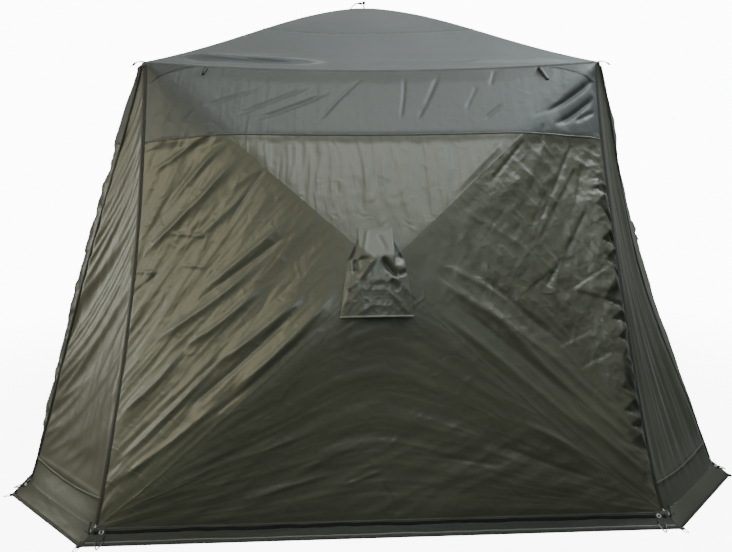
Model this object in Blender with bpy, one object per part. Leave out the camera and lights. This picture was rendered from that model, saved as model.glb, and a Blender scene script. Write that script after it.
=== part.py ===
"""A four-sided pop-up cook tent of coated cloth over sprung poles.

Each wall is a cloth pyramid that a hub and four poles push outward. Four narrow corner gussets join the walls,
a low pyramid roof covers the square top, and a sloping skirt runs round the foot. The front is at -Y.
"""

import math

import bmesh
import bpy
from mathutils import Matrix, Vector

# Driving dimensions, in metres.
EAVE_HALF = 0.96
EAVE_HEIGHT = 1.80
APEX_HEIGHT = 2.20
FOOT_HALF = 1.09
FOOT_OUT = 1.50
HEM_HEIGHT = 0.042
SKIRT_REACH = 0.060
SKIRT_FLARE = 0.041
HUB_HEIGHT = 0.934
HUB_PUSH = 0.27
CLOTH = 0.004
SEAM_GAP = 0.00025
LAP_GAP = 0.0005

# Shares of a panel, and the bow of its cloth.
FLAT_SHARE = 0.05
BAND_SHARE = 0.62
CAP_SHARE = 0.52
CORNER_CUT = 0.0125
EAVE_SAG = 0.030
SIDE_CURVES = (0.030, 0.050)
SEAM_PUSHES = (-0.068, 0.018)
WALL_BOW = 0.06
ROOF_BOW = 0.11
ROOF_SAG = 0.035
GRID = 12
GUSSET_GRID = 4
POLE_SHARES = (0, 0.12, 0.27, 0.42, 0.57, 0.72, 0.84, 0.92)

# Poles, hubs and the corner sockets.
POLE_RADIUS = 0.0055
POLE_DEPTH = 0.016
HUB_RADIUS = 0.038
HUB_THICK = 0.030
SOCKET_RADIUS = 0.020
SOCKET_DEPTH = 0.045
FOOT_TIP = (0.030, 0.045, 0.012)

# Hoods, tabs, rings and the fittings at the top.
HOOD_TOP_WIDTH = 0.128
HOOD_WIDTH = 0.255
HOOD_RISE = 0.15
HOOD_DROP = 0.17
HOOD_STAND = 0.045
HOOD_SHIFT = -0.026
HOOD_CLOTH = 0.003
HOOD_CLEAR = 0.009
TAB_WIDTH = 0.0255
TAB_LENGTH = 0.055
TAB_THICK = 0.003
TAB_INSET = 0.030
WIRE = 0.0017
RING_WIDTH = 0.036
RING_LENGTH = 0.040
CORNER_TAB_LENGTH = 0.042
STEM_RADIUS = 0.004
STEM_HEIGHT = 0.030
KNOB_RADIUS = 0.009
STRAP_LENGTH = 0.086

SIDES = ("front", "right", "back", "left")
CORNERS = ("front_right", "back_right", "back_left", "front_left")
INSIDE = Vector((0, 0, 0.9))
HUB_SHARE = (HUB_HEIGHT - HEM_HEIGHT) / (EAVE_HEIGHT - HEM_HEIGHT)
WALL_NORMAL = Vector((0, HEM_HEIGHT - EAVE_HEIGHT, FOOT_OUT - EAVE_HALF)).normalized()


def clear_scene():
    for obj in list(bpy.data.objects):
        bpy.data.objects.remove(obj, do_unlink=True)


def material(name, colour, roughness, metallic=0.0):
    mat = bpy.data.materials.get(name) or bpy.data.materials.new(name)
    mat.use_nodes = True
    shader = mat.node_tree.nodes["Principled BSDF"]
    shader.inputs["Base Color"].default_value = (*colour, 1)
    shader.inputs["Roughness"].default_value = roughness
    shader.inputs["Metallic"].default_value = metallic
    return mat


def finish(name, bm, mat, turn=0):
    """Makes an object of the mesh, turned by quarter turns round the tent's axis."""
    bmesh.ops.transform(bm, matrix=Matrix.Rotation(math.radians(90 * turn), 4, "Z"), verts=bm.verts)
    bmesh.ops.recalc_face_normals(bm, faces=bm.faces)
    mesh = bpy.data.meshes.new(name)
    bm.to_mesh(mesh)
    bm.free()
    mesh.materials.append(mat)
    obj = bpy.data.objects.new(name, mesh)
    bpy.context.scene.collection.objects.link(obj)
    return obj


def grid(columns, rows):
    bm = bmesh.new()
    bmesh.ops.create_grid(bm, x_segments=columns, y_segments=rows, size=1)
    return bm


def cut(bm, point, normal, clear=False):
    """Cuts the flat pattern along a line, and clears what lies beyond it if asked."""
    parts = bm.verts[:] + bm.edges[:] + bm.faces[:]
    bmesh.ops.bisect_plane(
        bm, geom=parts, dist=1e-6, plane_co=(*point, 0), plane_no=(*normal, 0), clear_outer=clear
    )


def panel_pattern():
    """A square of cloth, with edges along both diagonals and round the flat over the hub."""
    bm = grid(GRID, GRID)
    cut(bm, (0, 0), (1, 1))
    cut(bm, (0, 0), (1, -1))
    for side in (-1, 1):
        cut(bm, (side * FLAT_SHARE, 0), (1, 0))
        cut(bm, (0, side * FLAT_SHARE), (0, 1))
    return bm


def inward(point):
    """The way in which a seam's cloth has its thickness, which is level at the ground."""
    way = INSIDE - point
    if point.z < 0.001:
        way.z = 0
    return way.normalized()


def thicken(bm, place, thickness=CLOTH, way=inward):
    """Lays the flat pattern out in space with place, and gives it its thickness inwards."""
    for vert in bm.verts:
        vert.co = place(vert.co.x, vert.co.y)
    inner = bmesh.ops.extrude_face_region(bm, geom=bm.faces[:], use_keep_orig=True)
    for item in inner["geom"]:
        if isinstance(item, bmesh.types.BMVert):
            item.co += way(item.co) * thickness


def bowed(share, curve):
    """How far a pole has risen, from 0 at its foot to 1 at the flat over its hub."""
    top = 1 - FLAT_SHARE
    at = min(share, top)
    return (at + curve(at)) / (top + curve(top))


def wall_bow(at):
    return WALL_BOW * math.sin(math.pi * at)


def roof_bow(at):
    """A roof pole is nearly straight by the eaves, and arches over its upper part."""
    return ROOF_BOW * math.sin(math.pi * at) * (1.6 * at - 0.4)


def height_share(b):
    return HUB_SHARE + b * (1 - HUB_SHARE) if b > 0 else HUB_SHARE * (1 + b)


def wall_half(v, hand):
    """Half a wall's width at a share of its height: its side seams curve in, hand is 1 for the right one."""
    straight = FOOT_HALF + (EAVE_HALF * (1 - CORNER_CUT) - FOOT_HALF) * v
    return straight - SIDE_CURVES[hand] * (4 * v * (1 - v)) ** 0.6


def wall_point(a, b, shrink=SEAM_GAP):
    """A point of the front wall: a runs across, b runs up, and the hub is at 0, 0."""
    v = height_share(b)
    hand = 1 if a > 0 else 0
    half = wall_half(v, hand) - shrink
    sag = EAVE_SAG * (1 - a * a) * v**4
    z = HEM_HEIGHT + (EAVE_HEIGHT - HEM_HEIGHT) * v - sag
    flat = Vector((a * half, -FOOT_OUT + (FOOT_OUT - EAVE_HALF) * v + sag, z))
    if abs(a) > max(abs(b), FLAT_SHARE):
        off_pole = (abs(a) - abs(b)) / (1 - abs(b)) * (abs(a) - FLAT_SHARE) / (1 - FLAT_SHARE)
        flat.y -= SEAM_PUSHES[hand] * off_pole * (4 * v * (1 - v)) ** 2
    if b > 0.999:
        flat.z -= shrink
    if b < -0.999:
        flat.z += shrink
    return flat + WALL_NORMAL * HUB_PUSH * bowed(1 - max(abs(a), abs(b)), wall_bow)


def band_seam_point(a, b, drop):
    """A wall point, held off the seam under the upper band by the seam's gap."""
    near = 1 if abs(b - BAND_SHARE) < 1e-4 else 0
    point = wall_point(a, b)
    point.z += drop * SEAM_GAP * near
    return point


def make_wall(side, turn, cloth):
    """A wall from its hem to the band, and the band above it."""
    lower = panel_pattern()
    cut(lower, (0, BAND_SHARE), (0, 1), clear=True)
    thicken(lower, lambda a, b: band_seam_point(a, b, -1))
    finish(f"{side}_wall", lower, cloth, turn)
    upper = panel_pattern()
    cut(upper, (0, BAND_SHARE), (0, -1), clear=True)
    thicken(upper, lambda a, b: band_seam_point(a, b, 1))
    finish(f"{side}_band", upper, cloth, turn)


def roof_point(a, b, shrink=SEAM_GAP):
    far, near = max(abs(a), abs(b)), min(abs(a), abs(b))
    rise = bowed(1 - far, roof_bow)
    across = near / far if far > 1e-6 else 1
    hollow = (1 - across * across) * far
    sag = EAVE_SAG * hollow * far**3 + ROOF_SAG * hollow * math.sin(math.pi * min(1, 1 - far))
    pull = 1 - EAVE_SAG / EAVE_HALF * hollow * far**3
    x = a * EAVE_HALF * (pull if abs(a) >= abs(b) else 1)
    y = b * EAVE_HALF * (pull if abs(b) >= abs(a) else 1)
    z = EAVE_HEIGHT + (APEX_HEIGHT - EAVE_HEIGHT) * rise - sag
    return Vector((x, y, z + (shrink if far > 0.999 else 0)))


def make_roof(cloth):
    canopy = panel_pattern()
    for x in (-1, 1):
        cut(canopy, (x * CAP_SHARE, 0), (1, 0))
        cut(canopy, (0, x * CAP_SHARE), (0, 1))
        for y in (-1, 1):
            cut(canopy, (x * (1 - CORNER_CUT), y), (x, y), clear=True)
    cap = canopy.copy()
    for bm, keep_cap in ((canopy, False), (cap, True)):
        stray = []
        for face in bm.faces:
            centre = face.calc_center_median()
            in_cap = max(abs(centre.x), abs(centre.y)) < CAP_SHARE
            if in_cap != keep_cap:
                stray.append(face)
        bmesh.ops.delete(bm, geom=stray, context="FACES")
    thicken(canopy, lambda a, b: roof_point(a, b) - cap_gap(a, b))
    finish("roof_canopy", canopy, cloth)
    thicken(cap, lambda a, b: roof_point(a, b) + cap_gap(a, b))
    finish("roof_cap", cap, cloth)


def cap_gap(a, b):
    """Half the gap along the seam between the roof's cap and its lower part."""
    on_seam = abs(max(abs(a), abs(b)) - CAP_SHARE) < 1e-4
    return Vector((0, 0, SEAM_GAP if on_seam else 0))


def turned(point, turn):
    return Matrix.Rotation(math.radians(90 * turn), 3, "Z") @ point


def gusset_point(c, b):
    """A point of the front right gusset: c runs from the front wall's edge to the right wall's."""
    low = wall_point(1, b, shrink=0)
    high = turned(wall_point(-1, b, shrink=0), 1)
    along = high - low
    share = (c + 1) / 2
    hold = SEAM_GAP / along.length
    point = low + along * (hold + share * (1 - 2 * hold))
    if b > 0.999:
        point.z -= SEAM_GAP
    if b < -0.999:
        point.z += SEAM_GAP
    return point


def make_gusset(corner, turn, cloth):
    bm = grid(GUSSET_GRID, GRID)
    cut(bm, (0, 0), (0, 1))
    for b in (FLAT_SHARE, -FLAT_SHARE, BAND_SHARE):
        cut(bm, (0, b), (0, 1))
    thicken(bm, gusset_point)
    finish(f"{corner}_gusset", bm, cloth, turn)


def skirt_corners():
    """The ends of the front wall's hem, and where its skirt meets the ground."""
    hem = Vector((FOOT_HALF, -FOOT_OUT, HEM_HEIGHT))
    ground = Vector((FOOT_HALF + SKIRT_FLARE, -FOOT_OUT - SKIRT_REACH, 0))
    return hem, ground


def make_skirt(name, turn, cloth, columns, hems, grounds):
    """A strip of skirt between two corners, from the hem down to the ground."""
    bm = grid(columns, 1)
    along = (grounds[1] - grounds[0]).normalized()

    def place(a, b):
        share = (a + 1) / 2
        hem = hems[0].lerp(hems[1], share) - Vector((0, 0, SEAM_GAP))
        ground = grounds[0].lerp(grounds[1], share)
        return ground.lerp(hem, (b + 1) / 2) - along * a * SEAM_GAP

    thicken(bm, place)
    finish(name, bm, cloth, turn)


def make_skirts(turn, side, corner, cloth):
    hem, ground = skirt_corners()
    left_hem = Vector((-hem.x, hem.y, hem.z))
    left_ground = Vector((-ground.x, ground.y, 0))
    make_skirt(f"{side}_skirt", turn, cloth, GRID, (left_hem, hem), (left_ground, ground))
    hems = (hem, turned(left_hem, 1))
    grounds = (ground, turned(left_ground, 1))
    make_skirt(f"{corner}_gusset_skirt", turn, cloth, GUSSET_GRID, hems, grounds)


def tube(name, points, radius, closed=False):
    """A mesh tube along the points, kept as a guide that a Boolean joins to another piece."""
    curve = bpy.data.curves.new(name, "CURVE")
    curve.dimensions = "3D"
    curve.bevel_depth = radius
    curve.bevel_resolution = 2
    curve.use_fill_caps = not closed
    spline = curve.splines.new("POLY")
    spline.points.add(len(points) - 1)
    for item, point in zip(spline.points, points):
        item.co = (*point, 1)
    spline.use_cyclic_u = closed
    holder = bpy.data.objects.new(name, curve)
    mesh = bpy.data.meshes.new_from_object(holder)
    bpy.data.objects.remove(holder)
    return guide(name, mesh)


def guide(name, mesh):
    obj = bpy.data.objects.new(name, mesh)
    obj.hide_render = True
    obj.display_type = "WIRE"
    bpy.context.scene.collection.objects.link(obj)
    return obj


def join(obj, others):
    for other in others:
        modifier = obj.modifiers.new(other.name, "BOOLEAN")
        modifier.operation = "UNION"
        modifier.solver = "EXACT"
        modifier.object = other


def hub_mesh(centre, normal, radius, thick):
    bm = bmesh.new()
    facing = normal.to_track_quat("Z", "Y").to_matrix().to_4x4()
    place = Matrix.Translation(centre) @ facing
    bmesh.ops.create_cone(
        bm, segments=24, radius1=radius, radius2=radius, depth=thick, cap_ends=True, matrix=place
    )
    return bm


def eave_socket():
    """The centre of the socket inside the front right corner of the eaves."""
    corner = Vector((EAVE_HALF, -EAVE_HALF, EAVE_HEIGHT))
    return corner + (INSIDE - corner).normalized() * SOCKET_DEPTH


def pole_points(surface, depth, signs, end, stop):
    """A pole's points under a panel's diagonal, from inside its hub to stop short of end."""
    points = []
    for share in POLE_SHARES:
        point = surface(signs[0] * share, signs[1] * share)
        points.append(point - depth)
    last = (points[-1] - end).normalized()
    points.append(end + last * stop)
    return points


def make_wall_frame(side, turn, mat):
    """A wall's hub and its four poles, which press on the cloth from inside."""
    depth = WALL_NORMAL * POLE_DEPTH
    centre = wall_point(0, 0) - WALL_NORMAL * (CLOTH + LAP_GAP + HUB_THICK / 2)
    hub = finish(f"{side}_frame", hub_mesh(centre, WALL_NORMAL, HUB_RADIUS, HUB_THICK), mat, turn)
    socket = eave_socket()
    foot = Vector((FOOT_HALF - FOOT_TIP[0], -FOOT_OUT + FOOT_TIP[1], FOOT_TIP[2]))
    poles = []
    for x in (-1, 1):
        for up in (-1, 1):
            end = socket.copy() if up > 0 else foot.copy()
            end.x *= x
            stop = SOCKET_RADIUS + LAP_GAP if up > 0 else 0
            points = [turned(p, turn) for p in pole_points(wall_point, depth, (x, up), end, stop)]
            poles.append(tube(f"{side}_pole_guide", points, POLE_RADIUS))
    join(hub, poles)


def make_roof_frame(mat):
    """The roof's hub, its four poles and the sockets at the corners of the eaves."""
    down = Vector((0, 0, POLE_DEPTH + 0.004))
    centre = Vector((0, 0, APEX_HEIGHT - CLOTH - LAP_GAP - HUB_THICK / 2))
    hub = finish("roof_frame", hub_mesh(centre, Vector((0, 0, 1)), HUB_RADIUS, HUB_THICK), mat)
    others = []
    for turn in range(4):
        points = pole_points(roof_point, down, (1, -1), eave_socket(), 0)
        others.append(tube("roof_pole_guide", [turned(p, turn) for p in points], POLE_RADIUS))
        ball = bmesh.new()
        place = Matrix.Translation(turned(eave_socket(), turn))
        bmesh.ops.create_uvsphere(ball, u_segments=16, v_segments=10, radius=SOCKET_RADIUS, matrix=place)
        mesh = bpy.data.meshes.new("socket_guide")
        ball.to_mesh(mesh)
        ball.free()
        others.append(guide("socket_guide", mesh))
    join(hub, others)


def make_hood(side, turn, cloth):
    """The flap over a wall's hub: sewn on along its top, and open underneath."""
    bm = grid(8, 6)

    def place(a, b):
        down = (1 - b) / 2
        width = HOOD_TOP_WIDTH + (HOOD_WIDTH - HOOD_TOP_WIDTH) * down
        z = HUB_HEIGHT + HOOD_RISE - (HOOD_RISE + HOOD_DROP) * down
        share = (z - HEM_HEIGHT) / (EAVE_HEIGHT - HEM_HEIGHT)
        up = (share - HUB_SHARE) / (1 - HUB_SHARE) if share > HUB_SHARE else share / HUB_SHARE - 1
        base = wall_point((a * width / 2 + HOOD_SHIFT) / wall_half(HUB_SHARE, 1), up)
        stand = HOOD_STAND * down**0.8 * (1 - abs(a) ** 3)
        hold = LAP_GAP if b > 0.999 else HOOD_CLEAR
        return base + WALL_NORMAL * (HOOD_CLOTH + hold + stand)

    thicken(bm, place, HOOD_CLOTH, way=lambda point: -WALL_NORMAL)
    finish(f"{side}_hood", bm, cloth, turn)


def foot_tab_frame(x):
    """Where a tab leaves the hem, the way down the skirt's slope, and the way out of it."""
    hem, ground = skirt_corners()
    start = Vector((x * (hem.x - TAB_INSET), hem.y, hem.z))
    end = Vector((x * (hem.x - TAB_INSET), ground.y, 0))
    down = (end - start).normalized()
    out = Vector((1, 0, 0)).cross(down).normalized()
    if out.z < 0:
        out = -out
    return start, down, out


def make_foot_tab(name, turn, x, webbing, steel):
    """A webbing tab on the skirt, with the wire ring that a peg goes through."""
    start, down, out = foot_tab_frame(x)
    bm = bmesh.new()
    bmesh.ops.create_cube(bm, size=1)
    lift = out * (LAP_GAP + TAB_THICK / 2)
    centre = start + down * (TAB_LENGTH / 2 + 0.002) + lift
    axes = Matrix((Vector((1, 0, 0)), down, out)).transposed().to_4x4()
    size = Matrix.Diagonal((TAB_WIDTH, TAB_LENGTH, TAB_THICK, 1))
    bmesh.ops.transform(bm, matrix=Matrix.Translation(centre) @ axes @ size, verts=bm.verts)
    tab = finish(name, bm, webbing, turn)
    tab.data.materials.append(steel)
    top = start + down * (TAB_LENGTH - 0.004) + lift
    low = Vector((top.x, top.y - RING_LENGTH, WIRE))
    corners = [top + Vector((-RING_WIDTH / 2, 0, 0)), top + Vector((RING_WIDTH / 2, 0, 0)), low]
    ring = tube(f"{name}_ring_guide", [turned(p, turn) for p in corners], WIRE, closed=True)
    join(tab, [ring])


def make_corner_tab(name, turn, webbing):
    """The short webbing tail outside a corner of the eaves."""
    corner = Vector((EAVE_HALF, -EAVE_HALF, EAVE_HEIGHT))
    out = Vector((1, -1, -0.25)).normalized()
    side = Vector((1, 1, 0)).normalized()
    bm = bmesh.new()
    bmesh.ops.create_cube(bm, size=1)
    axes = Matrix((side, out, side.cross(out))).transposed().to_4x4()
    size = Matrix.Diagonal((TAB_WIDTH, CORNER_TAB_LENGTH, TAB_THICK, 1))
    sewn = LAP_GAP - CORNER_CUT * EAVE_HALF * math.sqrt(0.5)
    centre = corner + out * (CORNER_TAB_LENGTH / 2 + sewn)
    bmesh.ops.transform(bm, matrix=Matrix.Translation(centre) @ axes @ size, verts=bm.verts)
    finish(name, bm, webbing, turn)


def make_roof_fittings(webbing, plastic):
    """The stem and knob over the roof's hub, and the pull strap beside them."""
    base = APEX_HEIGHT + LAP_GAP
    bm = bmesh.new()
    place = Matrix.Translation((0, 0, base + STEM_HEIGHT / 2))
    bmesh.ops.create_cone(
        bm, segments=16, radius1=STEM_RADIUS, radius2=STEM_RADIUS, depth=STEM_HEIGHT, cap_ends=True, matrix=place
    )
    knob = finish("roof_knob", bm, plastic)
    ball = bmesh.new()
    place = Matrix.Translation((0, 0, base + STEM_HEIGHT + KNOB_RADIUS * 0.8))
    bmesh.ops.create_uvsphere(ball, u_segments=16, v_segments=10, radius=KNOB_RADIUS, matrix=place)
    mesh = bpy.data.meshes.new("knob_guide")
    ball.to_mesh(mesh)
    ball.free()
    join(knob, [guide("knob_guide", mesh)])
    strap = grid(8, 1)

    def lay(a, b):
        x = -STEM_RADIUS - 0.004 - STRAP_LENGTH * (1 - a) / 2
        rise = 0.030 * math.sin(math.pi * (1 - a) / 2) ** 2
        top = roof_point(x / EAVE_HALF, 0).z + TAB_THICK + LAP_GAP
        return Vector((x, b * TAB_WIDTH / 2, top + rise))

    thicken(strap, lay, TAB_THICK, way=lambda point: Vector((0, 0, -1)))
    finish("roof_pull_strap", strap, webbing)


def build():
    clear_scene()
    cloth = material("olive_cloth", (0.10, 0.105, 0.075), 0.45)
    roof_cloth = material("roof_cloth", (0.16, 0.165, 0.14), 0.42)
    skirt_cloth = material("skirt_cloth", (0.05, 0.055, 0.04), 0.55)
    webbing = material("black_webbing", (0.02, 0.02, 0.018), 0.7)
    plastic = material("black_plastic", (0.02, 0.02, 0.02), 0.4)
    steel = material("wire_steel", (0.6, 0.6, 0.6), 0.3, 1.0)
    make_roof(roof_cloth)
    make_roof_frame(plastic)
    make_roof_fittings(webbing, plastic)
    for turn, (side, corner) in enumerate(zip(SIDES, CORNERS)):
        make_wall(side, turn, cloth)
        make_wall_frame(side, turn, plastic)
        make_hood(side, turn, cloth)
        make_gusset(corner, turn, cloth)
        make_skirts(turn, side, corner, skirt_cloth)
        make_foot_tab(f"{side}_tab_left", turn, -1, webbing, steel)
        make_foot_tab(f"{side}_tab_right", turn, 1, webbing, steel)
        make_corner_tab(f"{corner}_corner_tab", turn, webbing)


build()
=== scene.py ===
import math

import bmesh
import bpy
import numpy as np
from mathutils import Matrix, Vector


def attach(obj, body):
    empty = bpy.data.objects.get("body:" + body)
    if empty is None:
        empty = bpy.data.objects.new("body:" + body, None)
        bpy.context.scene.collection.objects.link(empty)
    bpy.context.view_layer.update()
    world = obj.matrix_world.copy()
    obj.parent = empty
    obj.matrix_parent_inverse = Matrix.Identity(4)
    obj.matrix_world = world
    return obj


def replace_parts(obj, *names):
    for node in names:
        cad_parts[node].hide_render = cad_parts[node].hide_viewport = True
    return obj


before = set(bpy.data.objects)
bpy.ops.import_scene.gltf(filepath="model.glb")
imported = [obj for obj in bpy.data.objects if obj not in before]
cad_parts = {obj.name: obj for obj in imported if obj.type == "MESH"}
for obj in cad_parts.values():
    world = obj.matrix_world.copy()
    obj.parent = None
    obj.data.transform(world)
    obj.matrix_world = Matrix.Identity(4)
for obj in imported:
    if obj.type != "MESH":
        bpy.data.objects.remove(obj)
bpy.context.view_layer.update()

# The tent's driving sizes, in metres. They are the ones that the solids were made from.
EAVE_HALF = 0.96
EAVE_HEIGHT = 1.80
APEX_HEIGHT = 2.20
FOOT_HALF = 1.09
FOOT_OUT = 1.50
HEM_HEIGHT = 0.042
SKIRT_REACH = 0.060
SKIRT_FLARE = 0.041
HUB_HEIGHT = 0.934
HUB_PUSH = 0.27
BAND_SHARE = 0.62
CAP_SHARE = 0.52
FLAT_SHARE = 0.05
CORNER_CUT = 0.0125
EAVE_SAG = 0.030
SIDE_CURVES = (0.030, 0.050)
SEAM_PUSHES = (-0.068, 0.018)
WALL_BOW = 0.06
ROOF_BOW = 0.11
ROOF_SAG = 0.035
TAB_INSET = 0.030
HUB_SHARE = (HUB_HEIGHT - HEM_HEIGHT) / (EAVE_HEIGHT - HEM_HEIGHT)
WALL_NORMAL = np.array([0, HEM_HEIGHT - EAVE_HEIGHT, FOOT_OUT - EAVE_HALF])
WALL_NORMAL = WALL_NORMAL / np.linalg.norm(WALL_NORMAL)
SIDES = ("front", "right", "back", "left")
CORNERS = ("front_right", "back_right", "back_left", "front_left")
HANDS = ((-1, "left"), (1, "right"))
QUARTERS = ((1, 0), (0, 1), (-1, 0), (0, -1))
RIGHTWARD = np.array([1.0, 0, 0])
UP = np.array([0, 0, 1.0])

# How finely each sheet is divided.
WALL_GRID = 350
SIDE_GRID = 200
GUSSET_COLUMNS = 48
GUSSET_ROWS = 240
SETTLE_GRID = 230
SETTLE_ROUNDS = 160
SETTLE_EASE = 1.1
ROOF_GRID = 216
BODY = "root"


# Camera, floor and light

CAMERA_PLACE = (-0.174, -3.981, 1.397)
CAMERA_YAW = 0.044
CAMERA_PITCH = 0.164
CAMERA_ROLL = 0.007
SENSOR = 36
CAMERA_LENS = 700 / 732 * SENSOR
BACKDROP = 12.0
SKY_LOW = 0.09
SKY_HIGH = 0.22
WHITE = (1, 1, 1, 1)

# Each lamp's name, place, aim, width, power in watts and colour.
LAMPS = (
    ("over", (0.1, -2.3, 5.3), (0, -1.2, 1.0), 2.0, 74, (0.94, 0.98, 0.95)),
    ("roof", (2.3, -0.3, 3.6), (0.4, -0.5, 1.9), 1.4, 66, (0.94, 0.97, 1.0)),
    ("left", (-4.8, -3.3, 3.0), (0, -1.2, 0.8), 1.4, 62, (1.0, 0.90, 0.58)),
    ("side", (-5.2, -0.9, 1.7), (-0.9, -0.9, 0.9), 1.4, 58, (1.0, 1.0, 0.84)),
    ("front", (-0.1, -6.0, 3.0), (0, -1.2, 0.8), 2.0, 80, (0.82, 0.95, 1.0)),
    ("high", (1.9, -1.5, 4.2), (0, -1.2, 1.0), 1.6, 38, (0.74, 0.93, 1.0)),
)


def make_camera():
    data = bpy.data.cameras.new("camera")
    data.sensor_width = SENSOR
    data.lens = CAMERA_LENS
    camera = bpy.data.objects.new("camera", data)
    bpy.context.scene.collection.objects.link(camera)
    look = Matrix.Rotation(-CAMERA_YAW, 4, "Z") @ Matrix.Rotation(math.pi / 2 - CAMERA_PITCH, 4, "X")
    camera.matrix_world = Matrix.Translation(CAMERA_PLACE) @ look @ Matrix.Rotation(-CAMERA_ROLL, 4, "Z")
    bpy.context.scene.camera = camera


def make_floor():
    """A pale floor that fades into the backdrop's white far from the tent, and that lights it only dimly."""
    bm = bmesh.new()
    bmesh.ops.create_circle(bm, cap_ends=True, segments=96, radius=60)
    floor = new_object("floor", bm)
    mat, tree, pale = new_material("pale_floor")
    set_inputs(tree, pale, {"Base Color": (0.80, 0.80, 0.80, 1), "Roughness": 0.9, "Specular IOR Level": 0.1})
    white = add_node(tree, "ShaderNodeEmission", {"Color": WHITE, "Strength": BACKDROP})
    dark = add_node(tree, "ShaderNodeBsdfDiffuse", {"Color": (0.06, 0.065, 0.05, 1)})
    place = add_node(tree, "ShaderNodeTexCoord").outputs["Object"]
    far = add_node(tree, "ShaderNodeVectorMath", {0: place}, operation="LENGTH").outputs["Value"]
    reach = {"Value": far, "From Min": 1.6, "From Max": 4.2, "To Min": 0.72}
    fade = add_node(tree, "ShaderNodeMapRange", reach, interpolation_type="SMOOTHSTEP")
    shown = mix_shaders(tree, fade.outputs["Result"], pale.outputs["BSDF"], white.outputs["Emission"])
    mix_by_camera(tree, dark.outputs["BSDF"], shown, tree.nodes["Material Output"])
    floor.data.materials.append(mat)
    floor.location.z = -0.001


def make_world():
    """White behind the tent, and for its light a dim sky that is brighter above and on the left."""
    world = bpy.data.worlds.new("studio")
    world.use_nodes = True
    tree = world.node_tree
    shown = tree.nodes["Background"]
    set_inputs(tree, shown, {"Color": WHITE, "Strength": BACKDROP})
    way = add_node(tree, "ShaderNodeTexCoord").outputs["Generated"]
    split = add_node(tree, "ShaderNodeSeparateXYZ", {"Vector": way})
    height = maths(tree, "MULTIPLY_ADD", split.outputs["X"], -0.22, split.outputs["Z"])
    reach = {"Value": height, "From Min": -0.1, "To Min": SKY_LOW, "To Max": SKY_HIGH}
    power = add_node(tree, "ShaderNodeMapRange", reach).outputs["Result"]
    sky = add_node(tree, "ShaderNodeBackground", {"Color": (0.86, 0.94, 1, 1), "Strength": power})
    mix_by_camera(tree, sky.outputs["Background"], shown.outputs["Background"], tree.nodes["World Output"])
    bpy.context.scene.world = world


def make_lamps():
    """Soft lamps: three above the tent, a warm one and a yellow one on its left, and a cool one in front."""
    for name, place, aim, size, power, colour in LAMPS:
        data = bpy.data.lights.new(name, "AREA")
        data.shape = "RECTANGLE"
        data.size = data.size_y = size
        data.energy = power
        data.color = colour
        lamp = bpy.data.objects.new(name, data)
        bpy.context.scene.collection.objects.link(lamp)
        way = Vector(aim) - Vector(place)
        lamp.matrix_world = Matrix.Translation(place) @ way.to_track_quat("-Z", "Y").to_matrix().to_4x4()


# Meshes

def new_object(name, bm):
    mesh = bpy.data.meshes.new(name)
    bm.to_mesh(mesh)
    bm.free()
    obj = bpy.data.objects.new(name, mesh)
    bpy.context.scene.collection.objects.link(obj)
    return obj


def flat_grid(columns, rows):
    bm = bmesh.new()
    bmesh.ops.create_grid(bm, x_segments=columns, y_segments=rows, size=1)
    return bm


def cut(bm, point, normal, clear=False):
    parts = bm.verts[:] + bm.edges[:] + bm.faces[:]
    bmesh.ops.bisect_plane(
        bm, geom=parts, dist=1e-6, plane_co=(*point, 0), plane_no=(*normal, 0), clear_outer=clear
    )


def turn_points(points, turn):
    """Points turned by quarter turns round the tent's axis."""
    c, s = QUARTERS[turn % 4]
    x, y, z = points.T
    return np.stack([c * x - s * y, s * x + c * y, z], axis=1)


def points_of(mesh):
    points = np.zeros(len(mesh.vertices) * 3)
    mesh.vertices.foreach_get("co", points)
    return points.reshape(-1, 3)


def set_points(mesh, points):
    mesh.vertices.foreach_set("co", points.ravel())
    mesh.update()


def lay_out(obj, place, turn=0, grain=None, wear=None):
    """Moves a flat sheet's points to where place puts them, turned by quarter turns.

    The UV map holds where each corner lies along and across the creases of its face, in metres. Each
    function in wear gives an attribute of its name its values.
    """
    mesh = obj.data
    flat = points_of(mesh)
    corner = np.zeros(len(mesh.loops), np.int32)
    mesh.loops.foreach_get("vertex_index", corner)
    spots = flat[corner, :2]
    if grain:
        first = np.zeros(len(mesh.polygons), np.int32)
        count = np.zeros(len(mesh.polygons), np.int32)
        mesh.polygons.foreach_get("loop_start", first)
        mesh.polygons.foreach_get("loop_total", count)
        middle = np.add.reduceat(spots, first, axis=0) / count[:, None]
        spots = np.stack(grain(*spots.T, np.repeat(middle, count, axis=0)), axis=1)
    uv = mesh.uv_layers.new(name="creases")
    uv.data.foreach_set("uv", spots.ravel())
    for name, amount in (wear or {}).items():
        worn = mesh.attributes.new(name, "FLOAT", "POINT")
        worn.data.foreach_set("value", amount(flat[:, 0], flat[:, 1]).astype(np.float32))
    set_points(mesh, turn_points(place(flat[:, 0], flat[:, 1]), turn))


def face_outwards(obj):
    """Turns a sheet's faces to point away from the middle of the tent."""
    bm = bmesh.new()
    bm.from_mesh(obj.data)
    lean = sum(f.normal.dot(f.calc_center_median() - Vector((0, 0, 0.9))) for f in bm.faces)
    if lean < 0:
        bmesh.ops.reverse_faces(bm, faces=bm.faces)
    bm.to_mesh(obj.data)
    bm.free()
    obj.data.shade_smooth()


def dress(obj, finish):
    """Gives a piece its finish, and lets it ride on the tent."""
    obj.data.materials.append(FINISHES[finish])
    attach(obj, BODY)


# Noise and folds, all on arrays

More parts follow.
